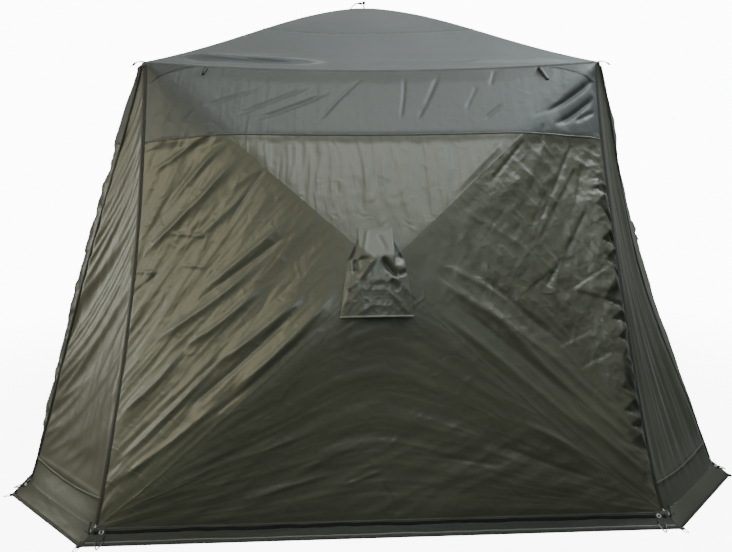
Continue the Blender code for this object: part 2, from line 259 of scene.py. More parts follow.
def lattice_noise(x, y, seed):
    """Smooth noise from about -0.7 to 0.7, with features one unit across."""
    size = 64
    angle = np.random.default_rng(seed).random((size, size)) * 2 * math.pi
    gx, gy = np.cos(angle), np.sin(angle)
    x0, y0 = np.floor(x).astype(int), np.floor(y).astype(int)
    fx, fy = x - x0, y - y0
    total = 0
    sx, sy = fx**3 * (fx * (fx * 6 - 15) + 10), fy**3 * (fy * (fy * 6 - 15) + 10)
    for dx in (0, 1):
        for dy in (0, 1):
            i, j = (x0 + dx) % size, (y0 + dy) % size
            value = gx[i, j] * (fx - dx) + gy[i, j] * (fy - dy)
            total = total + value * (sx if dx else 1 - sx) * (sy if dy else 1 - sy)
    return total


def creases(x, y, seed, octaves=3):
    """Crumpled cloth: sharp creases between soft facets, about 0 to 1 high."""
    total, scale, weight = 0, 1.0, 1.0
    for octave in range(octaves):
        value = 1 - np.abs(lattice_noise(x * scale, y * scale, seed + octave)) * 2.2
        total = total + np.clip(value, 0, 1) ** 2 * weight
        scale *= 2.1
        weight *= 0.45
    return total


def cells(x, y, seed):
    """Crumpled facets: 0 in the middle of each, and up to about 0.5 along the sharp lines between them."""
    size = 64
    shift = np.random.default_rng(seed).random((2, size, size))
    column, row = np.floor(x).astype(int), np.floor(y).astype(int)
    nearest = np.full(x.shape, 9.0)
    for dx in (-1, 0, 1):
        for dy in (-1, 0, 1):
            i, j = column + dx, row + dy
            px, py = i + shift[0, i % size, j % size], j + shift[1, i % size, j % size]
            nearest = np.minimum(nearest, (x - px) ** 2 + (y - py) ** 2)
    return nearest


def smooth(edge0, edge1, value):
    t = np.clip((value - edge0) / (edge1 - edge0), 0, 1)
    return t * t * (3 - 2 * t)


def off_line(x, y, start, end):
    """Where points lie by a line: how far along it, as a share of its length, and how far to its left."""
    along = np.subtract(end, start)
    length = np.linalg.norm(along)
    along = along / length
    dx, dy = x - start[0], y - start[1]
    return (dx * along[0] + dy * along[1]) / length, dy * along[0] - dx * along[1]


def fold(x, y, start, end, width, height, bend=0.0, sharp=0.0):
    """One long fold from start to end: a soft ridge, or a valley where height is below 0."""
    t, left = off_line(x, y, start, end)
    away = (left - bend * 4 * t * (1 - t)) / width
    taper = smooth(-0.02, 0.25, t) * (1 - smooth(0.72, 1.02, t))
    soft = np.exp(-away * away)
    keen = np.clip(1 - np.abs(away) * 0.8, 0, 1) ** 1.5
    return height * taper * (soft * (1 - sharp) + keen * sharp)


def facet(x, y, start, end, width, height):
    """A flat facet that stands proud along a line, drops at once on its left and slopes off on its right."""
    t, left = off_line(x, y, start, end)
    slope = np.clip(1 + left / width, 0, 1)
    drop = np.clip(1 - left / FACET_DROP, 0, 1)
    taper = smooth(0.0, 0.22, t) * (1 - smooth(0.78, 1.0, t))
    return height * taper * np.where(left < 0, slope, drop)


# Surfaces of the tent

def far_near(a, b):
    """The larger and the smaller of the shares across and up, whatever their signs."""
    return np.maximum(np.abs(a), np.abs(b)), np.minimum(np.abs(a), np.abs(b))


def height_share(b):
    return np.where(b > 0, HUB_SHARE + b * (1 - HUB_SHARE), HUB_SHARE * (1 + b))


def bowed(share, curve):
    top = 1 - FLAT_SHARE
    at = np.minimum(share, top)
    return (at + curve(at)) / (top + curve(top))


def wall_bow(at):
    return WALL_BOW * np.sin(np.pi * at)


def roof_bow(at):
    return ROOF_BOW * np.sin(np.pi * at) * (1.6 * at - 0.4)


def wall_half(b, right):
    """Half the width of a wall between its side seams, on its right or its left."""
    v = height_share(b)
    curve = np.where(right, SIDE_CURVES[1], SIDE_CURVES[0]) * np.maximum(4 * v * (1 - v), 0) ** 0.6
    return FOOT_HALF + (EAVE_HALF * (1 - CORNER_CUT) - FOOT_HALF) * v - curve


def wall_surface(a, b):
    """The front wall's cloth: a runs across, b runs up, and the hub is at 0, 0."""
    v = height_share(b)
    half = wall_half(b, a > 0)
    sag = EAVE_SAG * (1 - a * a) * v**4
    z = HEM_HEIGHT + (EAVE_HEIGHT - HEM_HEIGHT) * v - sag
    y = -FOOT_OUT + (FOOT_OUT - EAVE_HALF) * v + sag
    wide, high = np.abs(a), np.minimum(np.abs(b), 0.9999)
    off_pole = np.maximum(wide - high, 0) / (1 - high) * np.maximum(wide - FLAT_SHARE, 0) / (1 - FLAT_SHARE)
    y -= np.where(a > 0, SEAM_PUSHES[1], SEAM_PUSHES[0]) * off_pole * (4 * v * (1 - v)) ** 2
    points = np.stack([a * half, y, z], axis=1)
    push = HUB_PUSH * bowed(1 - far_near(a, b)[0], wall_bow)
    return points + WALL_NORMAL * push[:, None]


def slack(a, b, deep):
    """How far the cloth between two poles falls back from the straight line between them."""
    far, near = far_near(a, b)
    across = near / np.maximum(far, 1e-6)
    return deep * (1 - across**2) ** 1.5 * np.sin(np.pi * np.clip(far, 0, 1)) ** 0.8


def roof_surface(a, b):
    """The roof's smooth cloth over all four sides: the eaves are at 1 and -1, and the top is at 0, 0."""
    far, near = far_near(a, b)
    rise = bowed(1 - far, roof_bow)
    across = near / np.maximum(far, 1e-6)
    hollow = (1 - across * across) * far
    sag = EAVE_SAG * hollow * far**3 + ROOF_SAG * hollow * np.sin(np.pi * np.clip(1 - far, 0, 1))
    pull = 1 - EAVE_SAG / EAVE_HALF * hollow * far**3
    x = a * EAVE_HALF * np.where(np.abs(a) >= np.abs(b), pull, 1)
    y = b * EAVE_HALF * np.where(np.abs(b) >= np.abs(a), pull, 1)
    return np.stack([x, y, EAVE_HEIGHT + (APEX_HEIGHT - EAVE_HEIGHT) * rise - sag], axis=1)


def side_seam(b, side=1):
    """The seam at a side of the front wall: side is 1 on the right."""
    b = np.atleast_1d(np.asarray(b, float))
    return wall_surface(np.full(len(b), float(side)), b)


# The photograph's folds on the front wall, in its own pixels: start, end, width, height in mm, bend.

PHOTO_ROWS = (70, 270, 522)
PHOTO_HALVES = (229, 243, 283)
PHOTO_MIDDLE = 378
PIXEL = 0.0037
FACET_DROP = 0.009
FRONT_FOLDS = (
    (229, 136, 150, 177, 6, 7, 0), (208, 160, 150, 232, 9, -8, 0), (236, 150, 152, 228, 9, 9, -4),
    (252, 160, 138, 254, 10, 9, 3), (276, 176, 232, 230, 5, -8, -3), (292, 226, 205, 290, 10, 8, 0),
    (296, 236, 198, 300, 6, -7, 0), (265, 262, 150, 340, 10, 8, 4), (268, 282, 186, 344, 9, 9, 4),
    (188, 344, 118, 412, 8, 9, 4), (306, 293, 218, 362, 11, 11, 3), (218, 362, 106, 466, 9, 10, 3),
    (300, 306, 182, 410, 7, -9, 3), (334, 292, 232, 390, 10, 11, 4), (232, 390, 100, 486, 9, 9, 3),
    (318, 322, 196, 424, 6, -8, 4), (170, 231, 218, 236, 4, 4, 0), (186, 260, 213, 263, 4, 4, 0),
    (136, 264, 163, 266, 4, 4, 0), (163, 266, 132, 289, 4, -6, 0), (206, 117, 260, 97, 4, -7, 0),
    (238, 128, 314, 92, 4, -8, 1), (256, 131, 335, 97, 5, -9, -2), (321, 132, 367, 80, 4, -8, 2),
    (188, 131, 208, 113, 4, -6, 0), (408, 76, 400, 134, 4, -7, 2), (444, 75, 415, 134, 5, -9, 2),
    (502, 72, 495, 94, 4, -6, 0), (483, 90, 467, 122, 4, -6, 0), (507, 114, 484, 132, 4, -6, 0),
    (603, 88, 534, 129, 7, -15, 4), (604, 105, 557, 136, 7, -14, 3), (604, 120, 580, 132, 5, -10, 0),
    (506, 150, 445, 208, 8, 4, 0), (526, 150, 482, 198, 4, -7, 0), (545, 134, 540, 162, 5, -6, 0),
    (576, 152, 549, 205, 4, -10, 0), (549, 203, 536, 225, 4, -7, 0), (587, 212, 558, 258, 4, -11, 0),
    (558, 256, 541, 284, 4, -8, 0), (420, 262, 545, 330, 8, 5, 4), (415, 275, 560, 372, 11, 8, 4),
    (462, 268, 560, 348, 7, -7, 0), (470, 300, 643, 458, 11, 10, -6), (440, 300, 598, 424, 8, -7, 0),
    (430, 312, 600, 452, 9, 7, 0), (560, 412, 654, 490, 10, 9, 0), (500, 420, 652, 508, 9, 6, 6),
    (470, 440, 600, 490, 9, -6, 0), (334, 486, 376, 470, 4, 5, 0), (376, 482, 394, 520, 4, -5, 0),
    (290, 470, 360, 440, 6, 4, 0), (420, 455, 500, 470, 7, -4, 0), (232, 500, 330, 470, 7, 4, 0),
)


# Its flat facets: a line from start to end, then the width to its right, and the height in mm.
FRONT_FACETS = (
    (530, 247, 584, 168, 26, 10),
    (553, 270, 590, 210, 30, 12),
    (577, 207, 586, 168, 14, 7),
    (483, 196, 532, 140, 18, 6),
    (607, 262, 562, 290, 20, 9),
    (566, 289, 610, 300, 22, 8),
    (538, 286, 548, 268, 12, 6),
    (470, 250, 500, 214, 12, 3),
    (508, 300, 556, 262, 16, 5),
    (590, 330, 548, 350, 16, 6),
    (612, 352, 572, 372, 14, 6),
    (524, 232, 548, 196, 12, 4),
)


def photo_share(x, y):
    """The shares a and b of the front wall that lie at a pixel of the photograph."""
    top, hub, hem = PHOTO_ROWS
    b = (hub - y) / (hub - top) if y < hub else -(y - hub) / (hem - hub)
    half = np.interp(y, PHOTO_ROWS, PHOTO_HALVES)
    return (x - PHOTO_MIDDLE) / half, b


def chart(a, b):
    """Places on a wall's cloth in metres, across and up, for folds to be measured in."""
    return a * wall_half(b, a > 0), b * np.where(b > 0, 1 - HUB_SHARE, HUB_SHARE) * (EAVE_HEIGHT - HEM_HEIGHT)


def chart_of(a, b):
    x, y = chart(np.array([float(a)]), np.array([float(b)]))
    return float(x[0]), float(y[0])


def photo_line(pixels):
    """A line on the front wall's cloth, in metres, from the ends that the photograph gives it."""
    x0, y0, x1, y1 = pixels
    return chart_of(*photo_share(x0, y0)), chart_of(*photo_share(x1, y1))


def photo_folds(x, y):
    """The folds of the photograph's own wall, with its facets sunk into the cloth."""
    total = np.zeros_like(x)
    for *pixels, width, height, bend in FRONT_FOLDS:
        start, end = photo_line(pixels)
        broad = width > 6
        size = width * PIXEL * (0.50 if broad else 0.62)
        lift = height / 1000 * (1.0 if broad else 0.85)
        total += fold(x, y, start, end, size, lift, bend * PIXEL, 0.7)
        if broad:
            total += fold(x, y, start, end, size * 2.6, lift * 0.45, bend * PIXEL, 0.1)
    for *pixels, width, height in FRONT_FACETS:
        total -= facet(x, y, *photo_line(pixels), width * PIXEL, height / 1400)
    return total


def strewn_folds(x, y, side, count):
    """Long folds strewn over the two side triangles of a wall, much as the photograph's lie."""
    rng = np.random.default_rng(40 + SIDES.index(side))
    total = np.zeros_like(x)
    for number in range(count):
        hand = -1 if number % 2 else 1
        high = rng.uniform(-0.80, 0.75)
        room = 1 - abs(high)
        far = rng.uniform(0.55, 0.98)
        length = rng.uniform(0.18, 0.62) * (0.6 + 0.6 * room)
        slope = math.radians(rng.normal(40, 6))
        cx, cy = chart_of(hand * far, high * 0.92)
        start = (cx - hand * length * math.cos(slope), cy + length * math.sin(slope))
        width = rng.uniform(0.008, 0.022)
        height = width * rng.uniform(0.25, 0.45) * (1 if rng.random() < 0.7 else -1)
        total += fold(x, y, start, (cx, cy), width, height, rng.normal(0, 0.012), 0.7)
    return total


def streaks(x, y, angle, along, across, seed):
    """Noise drawn out into streaks: angle is their way, in degrees above the x axis."""
    c, s = math.cos(math.radians(angle)), math.sin(math.radians(angle))
    u, v = x * c + y * s, y * c - x * s
    wander = 0.35 * lattice_noise(u * along * 1.3, v * across * 0.4, seed + 50)
    return lattice_noise(u * along, (v + wander / across) * across, seed)


def seed_of(side):
    return 100 * (SIDES.index(side) + 1)


def wall_regions(a, b):
    """The four triangles between the poles: left, right, top and bottom, as masks."""
    left = (-a > np.abs(b)).astype(float)
    right = (a >= np.abs(b)).astype(float)
    top = ((b > np.abs(a))).astype(float)
    return left, right, top, 1 - left - right - top


def fold_chart(a, b, region):
    """Where a point lies along and across the folds of its triangle, in metres.

    The folds of the side triangles lie side by side, and those of the lower one fan out of its corners.
    """
    x, y = chart(a, b)
    left, right, top, bottom = region
    along, across = np.zeros_like(x), np.zeros_like(x)
    for hand, part in ((-1, left), (1, right)):
        cx, cy = chart_of(hand * 1.9, -2.0)
        out, up = (cx - x) * hand, y - cy
        reach = np.sqrt(out * out + up * up)
        turn = np.arctan2(up, out)
        across += part * turn * 2.1
        along += part * reach
    lean = x + 0.04 * np.sin(y * 3)
    across += top * (lean + 5)
    along += top * y
    cx, cy = chart_of(1.06, -1.05)
    out = cx + 0.12 - np.sqrt(x * x + 0.0144)
    across += bottom * (np.arctan2(y - cy, np.maximum(out, 1e-3)) * 0.95 + 9)
    along += bottom * x
    return along, across


def ridged(value):
    """Noise turned into sharp crests with flat hollows, from 0 to 1."""
    return np.clip(1 - np.abs(value) * 2.6, 0, 1) ** 1.2


def first_folds(a, b, side):
    """The folds of a wall before its cloth is settled, as heights off the smooth surface."""
    x, y = chart(a, b)
    seed = seed_of(side)
    far, near = far_near(a, b)
    off_pole = smooth(0.0, 0.16, far - near)
    region = wall_regions(a, b)
    left, right, top, bottom = region
    along, across = fold_chart(a, b, region)
    across = across + 0.025 * lattice_noise(along * 2.5, across * 3, seed + 1)
    low = smooth(0.25, -0.35, b)
    broad = ridged(lattice_noise(across * 9, along * 0.8, seed + 2))
    medium = ridged(lattice_noise(across * 19, along * 1.5, seed + 3))
    relief = -slack(a, b, 0.012)
    strength = left * (0.42 + 0.58 * low) + right * (0.22 + 0.95 * low) + bottom * 0.50
    relief += strength * off_pole * (broad * 0.013 + medium * 0.006 - 0.006)
    crumple = creases(x * 8 + lattice_noise(x * 4, y * 4, seed + 20), y * 5 - x * 2, seed + 21, 2)
    relief += right * off_pole * crumple * 0.008 * smooth(0.15, 0.7, a) * smooth(-0.5, -0.05, b)
    steep = ridged(streaks(x, y, 63, 4.0, 13, seed + 5))
    relief += right * off_pole * steep * 0.008 * (1 - low)
    gathers = creases(y * 15 + x * 10 + lattice_noise(x * 9, y * 9, seed + 12), x * 8, seed + 13, 2)
    relief += right * gathers * 0.014 * smooth(0.78, 0.97, a) * smooth(-0.95, -0.7, b)
    hang = lattice_noise(across * 13, along * 1.4, seed + 30) * 0.005
    hang += lattice_noise(across * 27, along * 3, seed + 31) * 0.002
    relief += top * hang * off_pole
    hem_folds = ridged(streaks(x, y, 24, 3, 13, seed + 33)) * smooth(-0.45, -0.8, b)
    relief += bottom * off_pole * hem_folds * 0.006
    if side == "front":
        relief = relief * 0.65
    rounding = np.where(b > 0, 0.010, 0.030)
    sunk = np.where(b > 0, 0.0010 * (1 - smooth(0.5, 0.62, b)), 0.0045)
    relief -= sunk * np.exp(-(((far - near) * 0.9 / rounding) ** 2))
    return relief * smooth(0.0, 0.03, 1 - np.abs(a)) * smooth(0, 0.03, 1 - np.abs(b))


def blur(values, passes):
    for _ in range(passes):
        padded = np.pad(values, 1, mode="edge")
        beside = padded[1:-1, :-2] + padded[1:-1, 2:] + padded[:-2, 1:-1] + padded[2:, 1:-1]
        values = (beside + 4 * values) / 8
    return values


def links_of(shape):
    """Pairs of grid points that cloth threads join, in sets in which no point comes twice."""
    rows, columns = shape
    index = np.arange(rows * columns).reshape(shape)
    sets = []
    for down, across in ((0, 1), (1, 0), (1, 1), (1, -1), (0, 2), (2, 0)):
        first = index[: rows - down, max(0, -across) : columns - max(0, across)]
        second = index[down:, max(0, across) : columns + min(0, across)]
        step = max(down, abs(across))
        line = np.arange(first.shape[0])[:, None] if down else np.arange(first.shape[1])[None, :]
        line = np.broadcast_to(line // step % 2, first.shape)
        for parity in (0, 1):
            sets.append((first[line == parity], second[line == parity], step))
    return sets


def settle(smooth_points, points, loose):
    """Lets creased cloth find its own shape: threads keep their length, so the folds turn crisp.

    Each thread is as long as the first folds make it on average round there. The cloth is held where
    loose is 0.
    """
    shape = points.shape[:2]
    rest, free = smooth_points.reshape(-1, 3), loose.reshape(-1)
    now = points.reshape(-1, 3).copy()
    before = now.copy()
    sets = []
    for first, second, step in links_of(shape):
        plain = np.linalg.norm(rest[second] - rest[first], axis=1)
        creased = np.linalg.norm(now[second] - now[first], axis=1)
        spare = np.zeros(len(rest))
        spare[first] = creased / plain - 1
        spare = blur(spare.reshape(shape), 30).reshape(-1)[first]
        weight = free[first] + free[second]
        keep = weight > 0
        share = free[first] / np.maximum(weight, 1e-9)
        length = plain * (1 + SETTLE_EASE * spare)
        sets.append((first[keep], second[keep], step, length[keep], share[keep, None]))
    for _ in range(SETTLE_ROUNDS):
        moved = now + (now - before) * 0.6 * free[:, None]
        before = now
        now = moved
        for first, second, step, length, share in sets:
            gap = now[second] - now[first]
            pull = 1 - length / np.maximum(np.linalg.norm(gap, axis=1), 1e-9)
            if step == 2:
                pull = np.minimum(pull, 0) * 0.12
            else:
                pull = np.where(pull > 0, pull, pull * 0.5)
            gap = gap * pull[:, None]
            now[first] += gap * share
            now[second] -= gap * (1 - share)
    return now.reshape(points.shape)


def settled_wall(side):
    """How far each point of a grid over a wall moves off the smooth surface as its cloth settles."""
    line = np.linspace(-1, 1, SETTLE_GRID + 1)
    a, b = np.meshgrid(line, line)
    flat_a, flat_b = a.ravel(), b.ravel()
    rest = wall_surface(flat_a, flat_b)
    start = rest + WALL_NORMAL * first_folds(flat_a, flat_b, side)[:, None]
    shape = (*a.shape, 3)
    to_pole = np.abs(np.abs(a) - np.abs(b))
    loose = smooth(0.004, 0.05, to_pole) * (np.abs(a) < 0.9999) * (np.abs(b) < 0.9999)
    loose *= 0.25 + 0.75 * smooth(0.0, 0.02, np.abs(b - BAND_SHARE))
    moved = settle(rest.reshape(shape), start.reshape(shape), loose) - rest.reshape(shape)
    soft = np.stack([blur(moved[:, :, axis], 60) for axis in range(3)], axis=2)
    in_band = smooth(0.585, 0.63, b) * smooth(0.0, 0.08, 1 - far_near(a, b)[0])
    clear = 0.004 * in_band * np.exp(-((to_pole / 0.10) ** 2))
    return moved + (soft - moved) * in_band[:, :, None] + WALL_NORMAL * clear[:, :, None]


def between(field, a, b):
    """The field's values at shares a and b, blended from its grid."""
    last = field.shape[0] - 1
    x, y = np.clip((a + 1) / 2 * last, 0, last - 1e-6), np.clip((b + 1) / 2 * last, 0, last - 1e-6)
    i, j = x.astype(int), y.astype(int)
    fx, fy = (x - i)[:, None], (y - j)[:, None]
    low = field[j, i] * (1 - fx) + field[j, i + 1] * fx
    high = field[j + 1, i] * (1 - fx) + field[j + 1, i + 1] * fx
    return low * (1 - fy) + high * fy


def jagged_edge(a, b, seed):
    """Places on the chart, how far they are from the right seam, and how far its gathers reach."""
    x, y = chart(a, b)
    away = wall_half(b, a > 0) - x
    place = y * 11 + 2.4 * lattice_noise(y * 4.3, y * 0 + 3.3, seed + 60) + 0.4 * x * 11
    tooth = np.abs(place % 1.0 - 0.72) / 0.72
    edge = 0.036 + 0.052 * tooth + 0.040 * lattice_noise(y * 7, y * 0 + 8.1, seed + 61)
    return x, y, away, np.maximum(edge, 0.018)


def seam_ledge(a, b, seed):
    """The gathered cloth beside the right seam, which stands proud and turns in at a jagged edge."""
    x, y, away, edge = jagged_edge(a, b, seed)
    stand = np.clip(away / edge, 0, 1) * (1 - smooth(0.02, 0.26, away))
    pleats = ridged(lattice_noise((y + x * 1.15) * 17, (x - y) * 3.5, seed + 62))
    pleats = pleats * np.exp(-((away - 0.020) / 0.026) ** 2)
    held = smooth(-0.97, -0.60, b) * (1 - smooth(0.25, 0.58, b)) * (a > 0)
    return (stand * 0.034 + pleats * 0.014) * held * smooth(0, 0.008, away)


def right_seam_painted_shade(a, b, seed):
    """Painted shade between the right seam and the cloth's jagged edge, where the cloth turns in, from 0 to
    1.
    """
    away, edge = jagged_edge(a, b, seed)[2:]
    held = smooth(-0.90, -0.55, b) * (1 - smooth(0.30, 0.58, b)) * (a > 0)
    return held * (1 - smooth(-0.008, 0.004, away - edge))


def fine_folds(a, b, side):
    """Crisp thin creases that lie on the settled cloth."""
    x, y = chart(a, b)
    seed = seed_of(side)
    region = wall_regions(a, b)
    left, right, top, bottom = region
    along, across = fold_chart(a, b, region)
    across = across + 0.02 * lattice_noise(along * 3, across * 4, seed + 40)
    low = smooth(0.25, -0.35, b)
    calm = lattice_noise(x * 2.2, y * 2.2, seed + 41) + 0.55
    thin = ridged(lattice_noise(across * 30, along * 2.0, seed + 42)) * np.clip(calm, 0, 1)
    thinner = ridged(lattice_noise(across * 55, along * 5, seed + 43))
    strength = left * (0.6 + 0.6 * low) + right * (0.5 + 0.7 * low) + top * 0.35 + bottom * 0.6
    relief = strength * (thin * 0.0034 + thinner * 0.0009)
    c, s = math.cos(1.08), math.sin(1.08)
    warp = lattice_noise(x * 7, y * 7, seed + 44) * 0.035
    u, v = x * c + y * s + warp, y * c - x * s + warp
    facets = 0.30 - cells(u * 10, v * 21, seed + 45) + 0.42 * cells(u * 23 + 5, v * 40 + 9, seed + 48)
    crumpled = right * smooth(0.25, 0.6, a) * smooth(-0.45, -0.1, b) * (1 - smooth(0.55, 0.62, b))
    relief += facets * (0.0012 * (left + 0.2 * top + bottom) + 0.0050 * crumpled)
    hang = lattice_noise(x * 13 + y * 3 + 0.5 * np.sin(y * 6), y * 1.6, seed + 51) * 0.0075
    hang += ridged(lattice_noise(x * 24 + y * 7 + np.sin(y * 9), y * 2.4, seed + 52)) * 0.0030
    relief += top * hang * (1 - smooth(0.56, 0.60, b)) * smooth(0.1, 0.3, b)
    if side == "front":
        relief = relief * 0.8 + photo_folds(x, y) + strewn_folds(x, y, side, 26) * 0.45 * (left + right)
    else:
        relief = relief + strewn_folds(x, y, side, 90) * (left + right)
    relief += seam_ledge(a, b, seed) * (1.0 if side == "front" else 0.2)
    edge = smooth(0.0, 0.012, 1 - np.abs(a)) * smooth(0, 0.03, 1 - np.abs(b))
    off_pole = (0.25 + 0.75 * smooth(0.0, 0.05, np.abs(np.abs(a) - np.abs(b)))) * edge
    return relief * off_pole + lattice_noise(x * 26, y * 26, 35) * 0.0007


def over_pole(a, b):
    """How far the band rises and falls to pass over the poles in one soft curve."""
    far, near = far_near(a, b)
    spread = 0.060 * smooth(0.57, 0.65, b)
    soft = (far + near) / 2 + np.sqrt((far - near) ** 2 / 4 + spread**2) - spread * 0.95
    rise = HUB_PUSH * (bowed(1 - soft, wall_bow) - bowed(1 - far, wall_bow))
    past = np.abs(a) - np.abs(b)
    kink = np.sqrt(past**2 / 4 + spread**2 / 2) - np.abs(past) / 2
    v = height_share(b)
    pull = np.where(a > 0, SEAM_PUSHES[1], SEAM_PUSHES[0]) * (4 * v * (1 - v)) ** 2
    return rise + pull * kink / np.maximum(1 - np.abs(b), 0.05)


def wall_cloth_point(a, b, moved, side):
    """A point of the finished wall, with the seam of the band pulled in along its stitches."""
    x, y = chart(a, b)
    seam = np.exp(-(((b - BAND_SHARE) / 0.008) ** 2))
    pucker = 0.0016 * lattice_noise(x * 60, y * 4, 77) - 0.001
    inside = 1 - far_near(a, b)[0]
    lift = fine_folds(a, b, side) * smooth(0.0, 0.012, inside) + pucker * seam
    lift += over_pole(a, b) * smooth(0.0, 0.10, inside)
    return wall_surface(a, b) + between(moved, a, b) + WALL_NORMAL * lift[:, None]


def wall_grain(a, b, middle):
    return fold_chart(a, b, wall_regions(middle[:, 0], middle[:, 1]))


def wall_crumple(a, b):
    """How crumpled each part of a wall is, from 0 to 1: most of all beside its right seam."""
    left, right, top, bottom = wall_regions(a, b)
    worn = right * smooth(0.12, 0.5, a) * smooth(-0.62, -0.15, b + 0.25 * (a - 0.9))
    worn += right * 0.25 * smooth(0.7, 0.9, a)
    worn += left * 0.10 + bottom * (0.07 + 0.20 * smooth(-0.55, -0.85, b)) + top * 0.03
    return np.clip(np.where(b > BAND_SHARE, 0.05, worn), 0, 1)


def make_wall_cloth(side, turn):
    """A wall's cloth below its band, and the band. Gives back how far the settled cloth has moved."""
    moved = settled_wall(side)
    size = WALL_GRID if side == "front" else SIDE_GRID

    def place(a, b):
        return wall_cloth_point(a, b, moved, side)

    # Shade painted into the cloth's tone beside the right seam.
    def shade(a, b):
        return right_seam_painted_shade(a, b, seed_of(side))

    for name, keep in (("wall", 1), ("band", -1)):
        bm = flat_grid(size, size - 20)
        cut(bm, (0, BAND_SHARE), (0, keep), clear=True)
        cut(bm, (0, 0), (1, 1))
        cut(bm, (0, 0), (1, -1))
        cloth = new_object(f"{side}_{name}_cloth", bm)
        lay_out(cloth, place, turn, wall_grain, {"crumple": wall_crumple, "shade": shade})
        face_outwards(cloth)
        finish_cloth(cloth, f"{side}_{name}", f"{name}_cloth")
    return moved


def finish_cloth(cloth, node, finish):
    """Dresses a sheet of cloth, which stands for a node, and hides that node's solid."""
    dress(cloth, finish)
    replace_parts(cloth, node)


# Roof

# Folds in the roof's cloth above an eave, in metres: start, end, width, height, and how sharp each is.
FRONT_EAVE_FOLDS = (
    ((-0.93, -0.87), (-0.30, -0.78), 0.030, 0.010, 0.2),
    ((-0.93, -0.95), (-0.70, -0.93), 0.012, -0.016, 0.5),
    ((0.35, -0.87), (0.90, -0.93), 0.020, 0.020, 0.3),
    ((-0.10, -0.84), (0.60, -0.86), 0.024, 0.007, 0.2),
)
OTHER_EAVE_FOLDS = (
    ((-0.90, -0.92), (0.10, -0.86), 0.022, -0.012, 0.3),
    ((0.05, -0.87), (0.90, -0.93), 0.020, 0.009, 0.3),
)


def roof_relief(a, b):
    """The roof's small waves, the pucker along its cap seam and the folds above its eaves, as heights."""
    far, near = far_near(a, b)
    off_hip = smooth(0.0, 0.25, (far - near) / np.maximum(far, 1e-3))
    x, y = a * EAVE_HALF, b * EAVE_HALF
    sideways = np.abs(a) > np.abs(b)
    side = np.where(sideways, np.where(a > 0, 1, 3), np.where(b > 0, 2, 0))
    along = np.where(sideways, y, x)
    out = far * EAVE_HALF
    relief = lattice_noise(along * 2.4 + side * 7.3, out * 9, 501) * 0.004
    relief += lattice_noise(along * 7 + side * 7.3, out * 5, 502) * 0.0025
    seam = np.exp(-(((far - CAP_SHARE) / 0.012) ** 2))
    relief += seam * (lattice_noise(along * 34 + side * 5.1, out * 3, 503) * 0.003 - 0.004)
    near_seam = np.exp(-(((far - CAP_SHARE - 0.03) / 0.03) ** 2))
    relief += near_seam * lattice_noise(along * 26, out * 6 + side * 2.2, 504) * 0.0060
    for turn, (c, s) in enumerate(QUARTERS):
        u, v = c * x + s * y, -s * x + c * y
        folds = OTHER_EAVE_FOLDS if turn else FRONT_EAVE_FOLDS
        lifted = sum(fold(u, v, *shape, 0.0, sharp) for *shape, sharp in folds)
        relief += lifted * ((v < 0) & (np.abs(v) >= np.abs(u)))
    return relief * off_hip * smooth(0, 0.02, 1 - far)


def overhang(a, b):
    """The slack cloth above a roof edge that folds forward over itself, at the left of each side."""
    moved = np.zeros((len(a), 3))
    for turn, (c, s) in enumerate(QUARTERS):
        u, v = c * a + s * b, -s * a + c * b
        line = -0.925 + 0.045 * np.clip(u + 0.9, 0, 2)
        taper = smooth(-0.90, -0.72, u) * (1 - smooth(-0.45, -0.10, u))
        near = np.exp(-(((v - line) / 0.012) ** 2)) * taper
        behind = np.exp(-(((v - line - 0.030) / 0.018) ** 2)) * taper
        size = 1.0 if turn == 0 else 0.35
        forward = -0.030 * behind * size
        moved[:, 0] += -s * forward
        moved[:, 1] += c * forward
        moved[:, 2] += (-0.020 * near + 0.010 * behind) * size
    return moved


def roof_point(a, b):
    """A point of the finished roof."""
    points = roof_surface(a, b)
    points[:, 2] += roof_relief(a, b)
    return points + overhang(a, b)


def make_roof_cloth():
    """The roof's canopy and the cap sewn into it, each one sheet over all four sides."""
    base = flat_grid(ROOF_GRID, ROOF_GRID)
    for x in (-1, 1):
        cut(base, (x * CAP_SHARE, 0), (1, 0))
        cut(base, (0, x * CAP_SHARE), (0, 1))
        cut(base, (0, 0), (1, x))
        for y in (-1, 1):
            cut(base, (x * (1 - CORNER_CUT), y), (x, y), clear=True)
    for name, in_cap in (("canopy", False), ("cap", True)):
        bm = base.copy()
        stray = [
            face for face in bm.faces
            if (max(abs(c) for c in face.calc_center_median()[:2]) < CAP_SHARE) != in_cap
        ]
        bmesh.ops.delete(bm, geom=stray, context="FACES")
        cloth = new_object(f"roof_{name}_cloth", bm)
        lay_out(cloth, roof_point)
        face_outwards(cloth)
        finish_cloth(cloth, f"roof_{name}", "roof_cloth")
    base.free()


def make_cap_seam(side, turn):
    """The tape over the seam between the roof's cap and its canopy, with its stitches."""
    a = np.linspace(-CAP_SHARE, CAP_SHARE, 120)
    b = np.full(len(a), -CAP_SHARE)
    line = roof_surface(a, b)
    line[:, 2] += roof_relief(a, b) + 0.0008
    out = unit(np.array([0, -0.35, 0.94]))
    profile = ((-0.006, -0.002), (-0.0055, 0.0010), (-0.001, 0.0016), (0.001, 0.0014), (0.0015, -0.002))
    strip(f"{side}_cap_seam", line, out, profile, "roof_cloth", turn)
    sewn = line - across_of(line, out) * 0.004 + out * 0.0022
    stitches(f"{side}_cap_stitches", sewn[2:-2], turn)


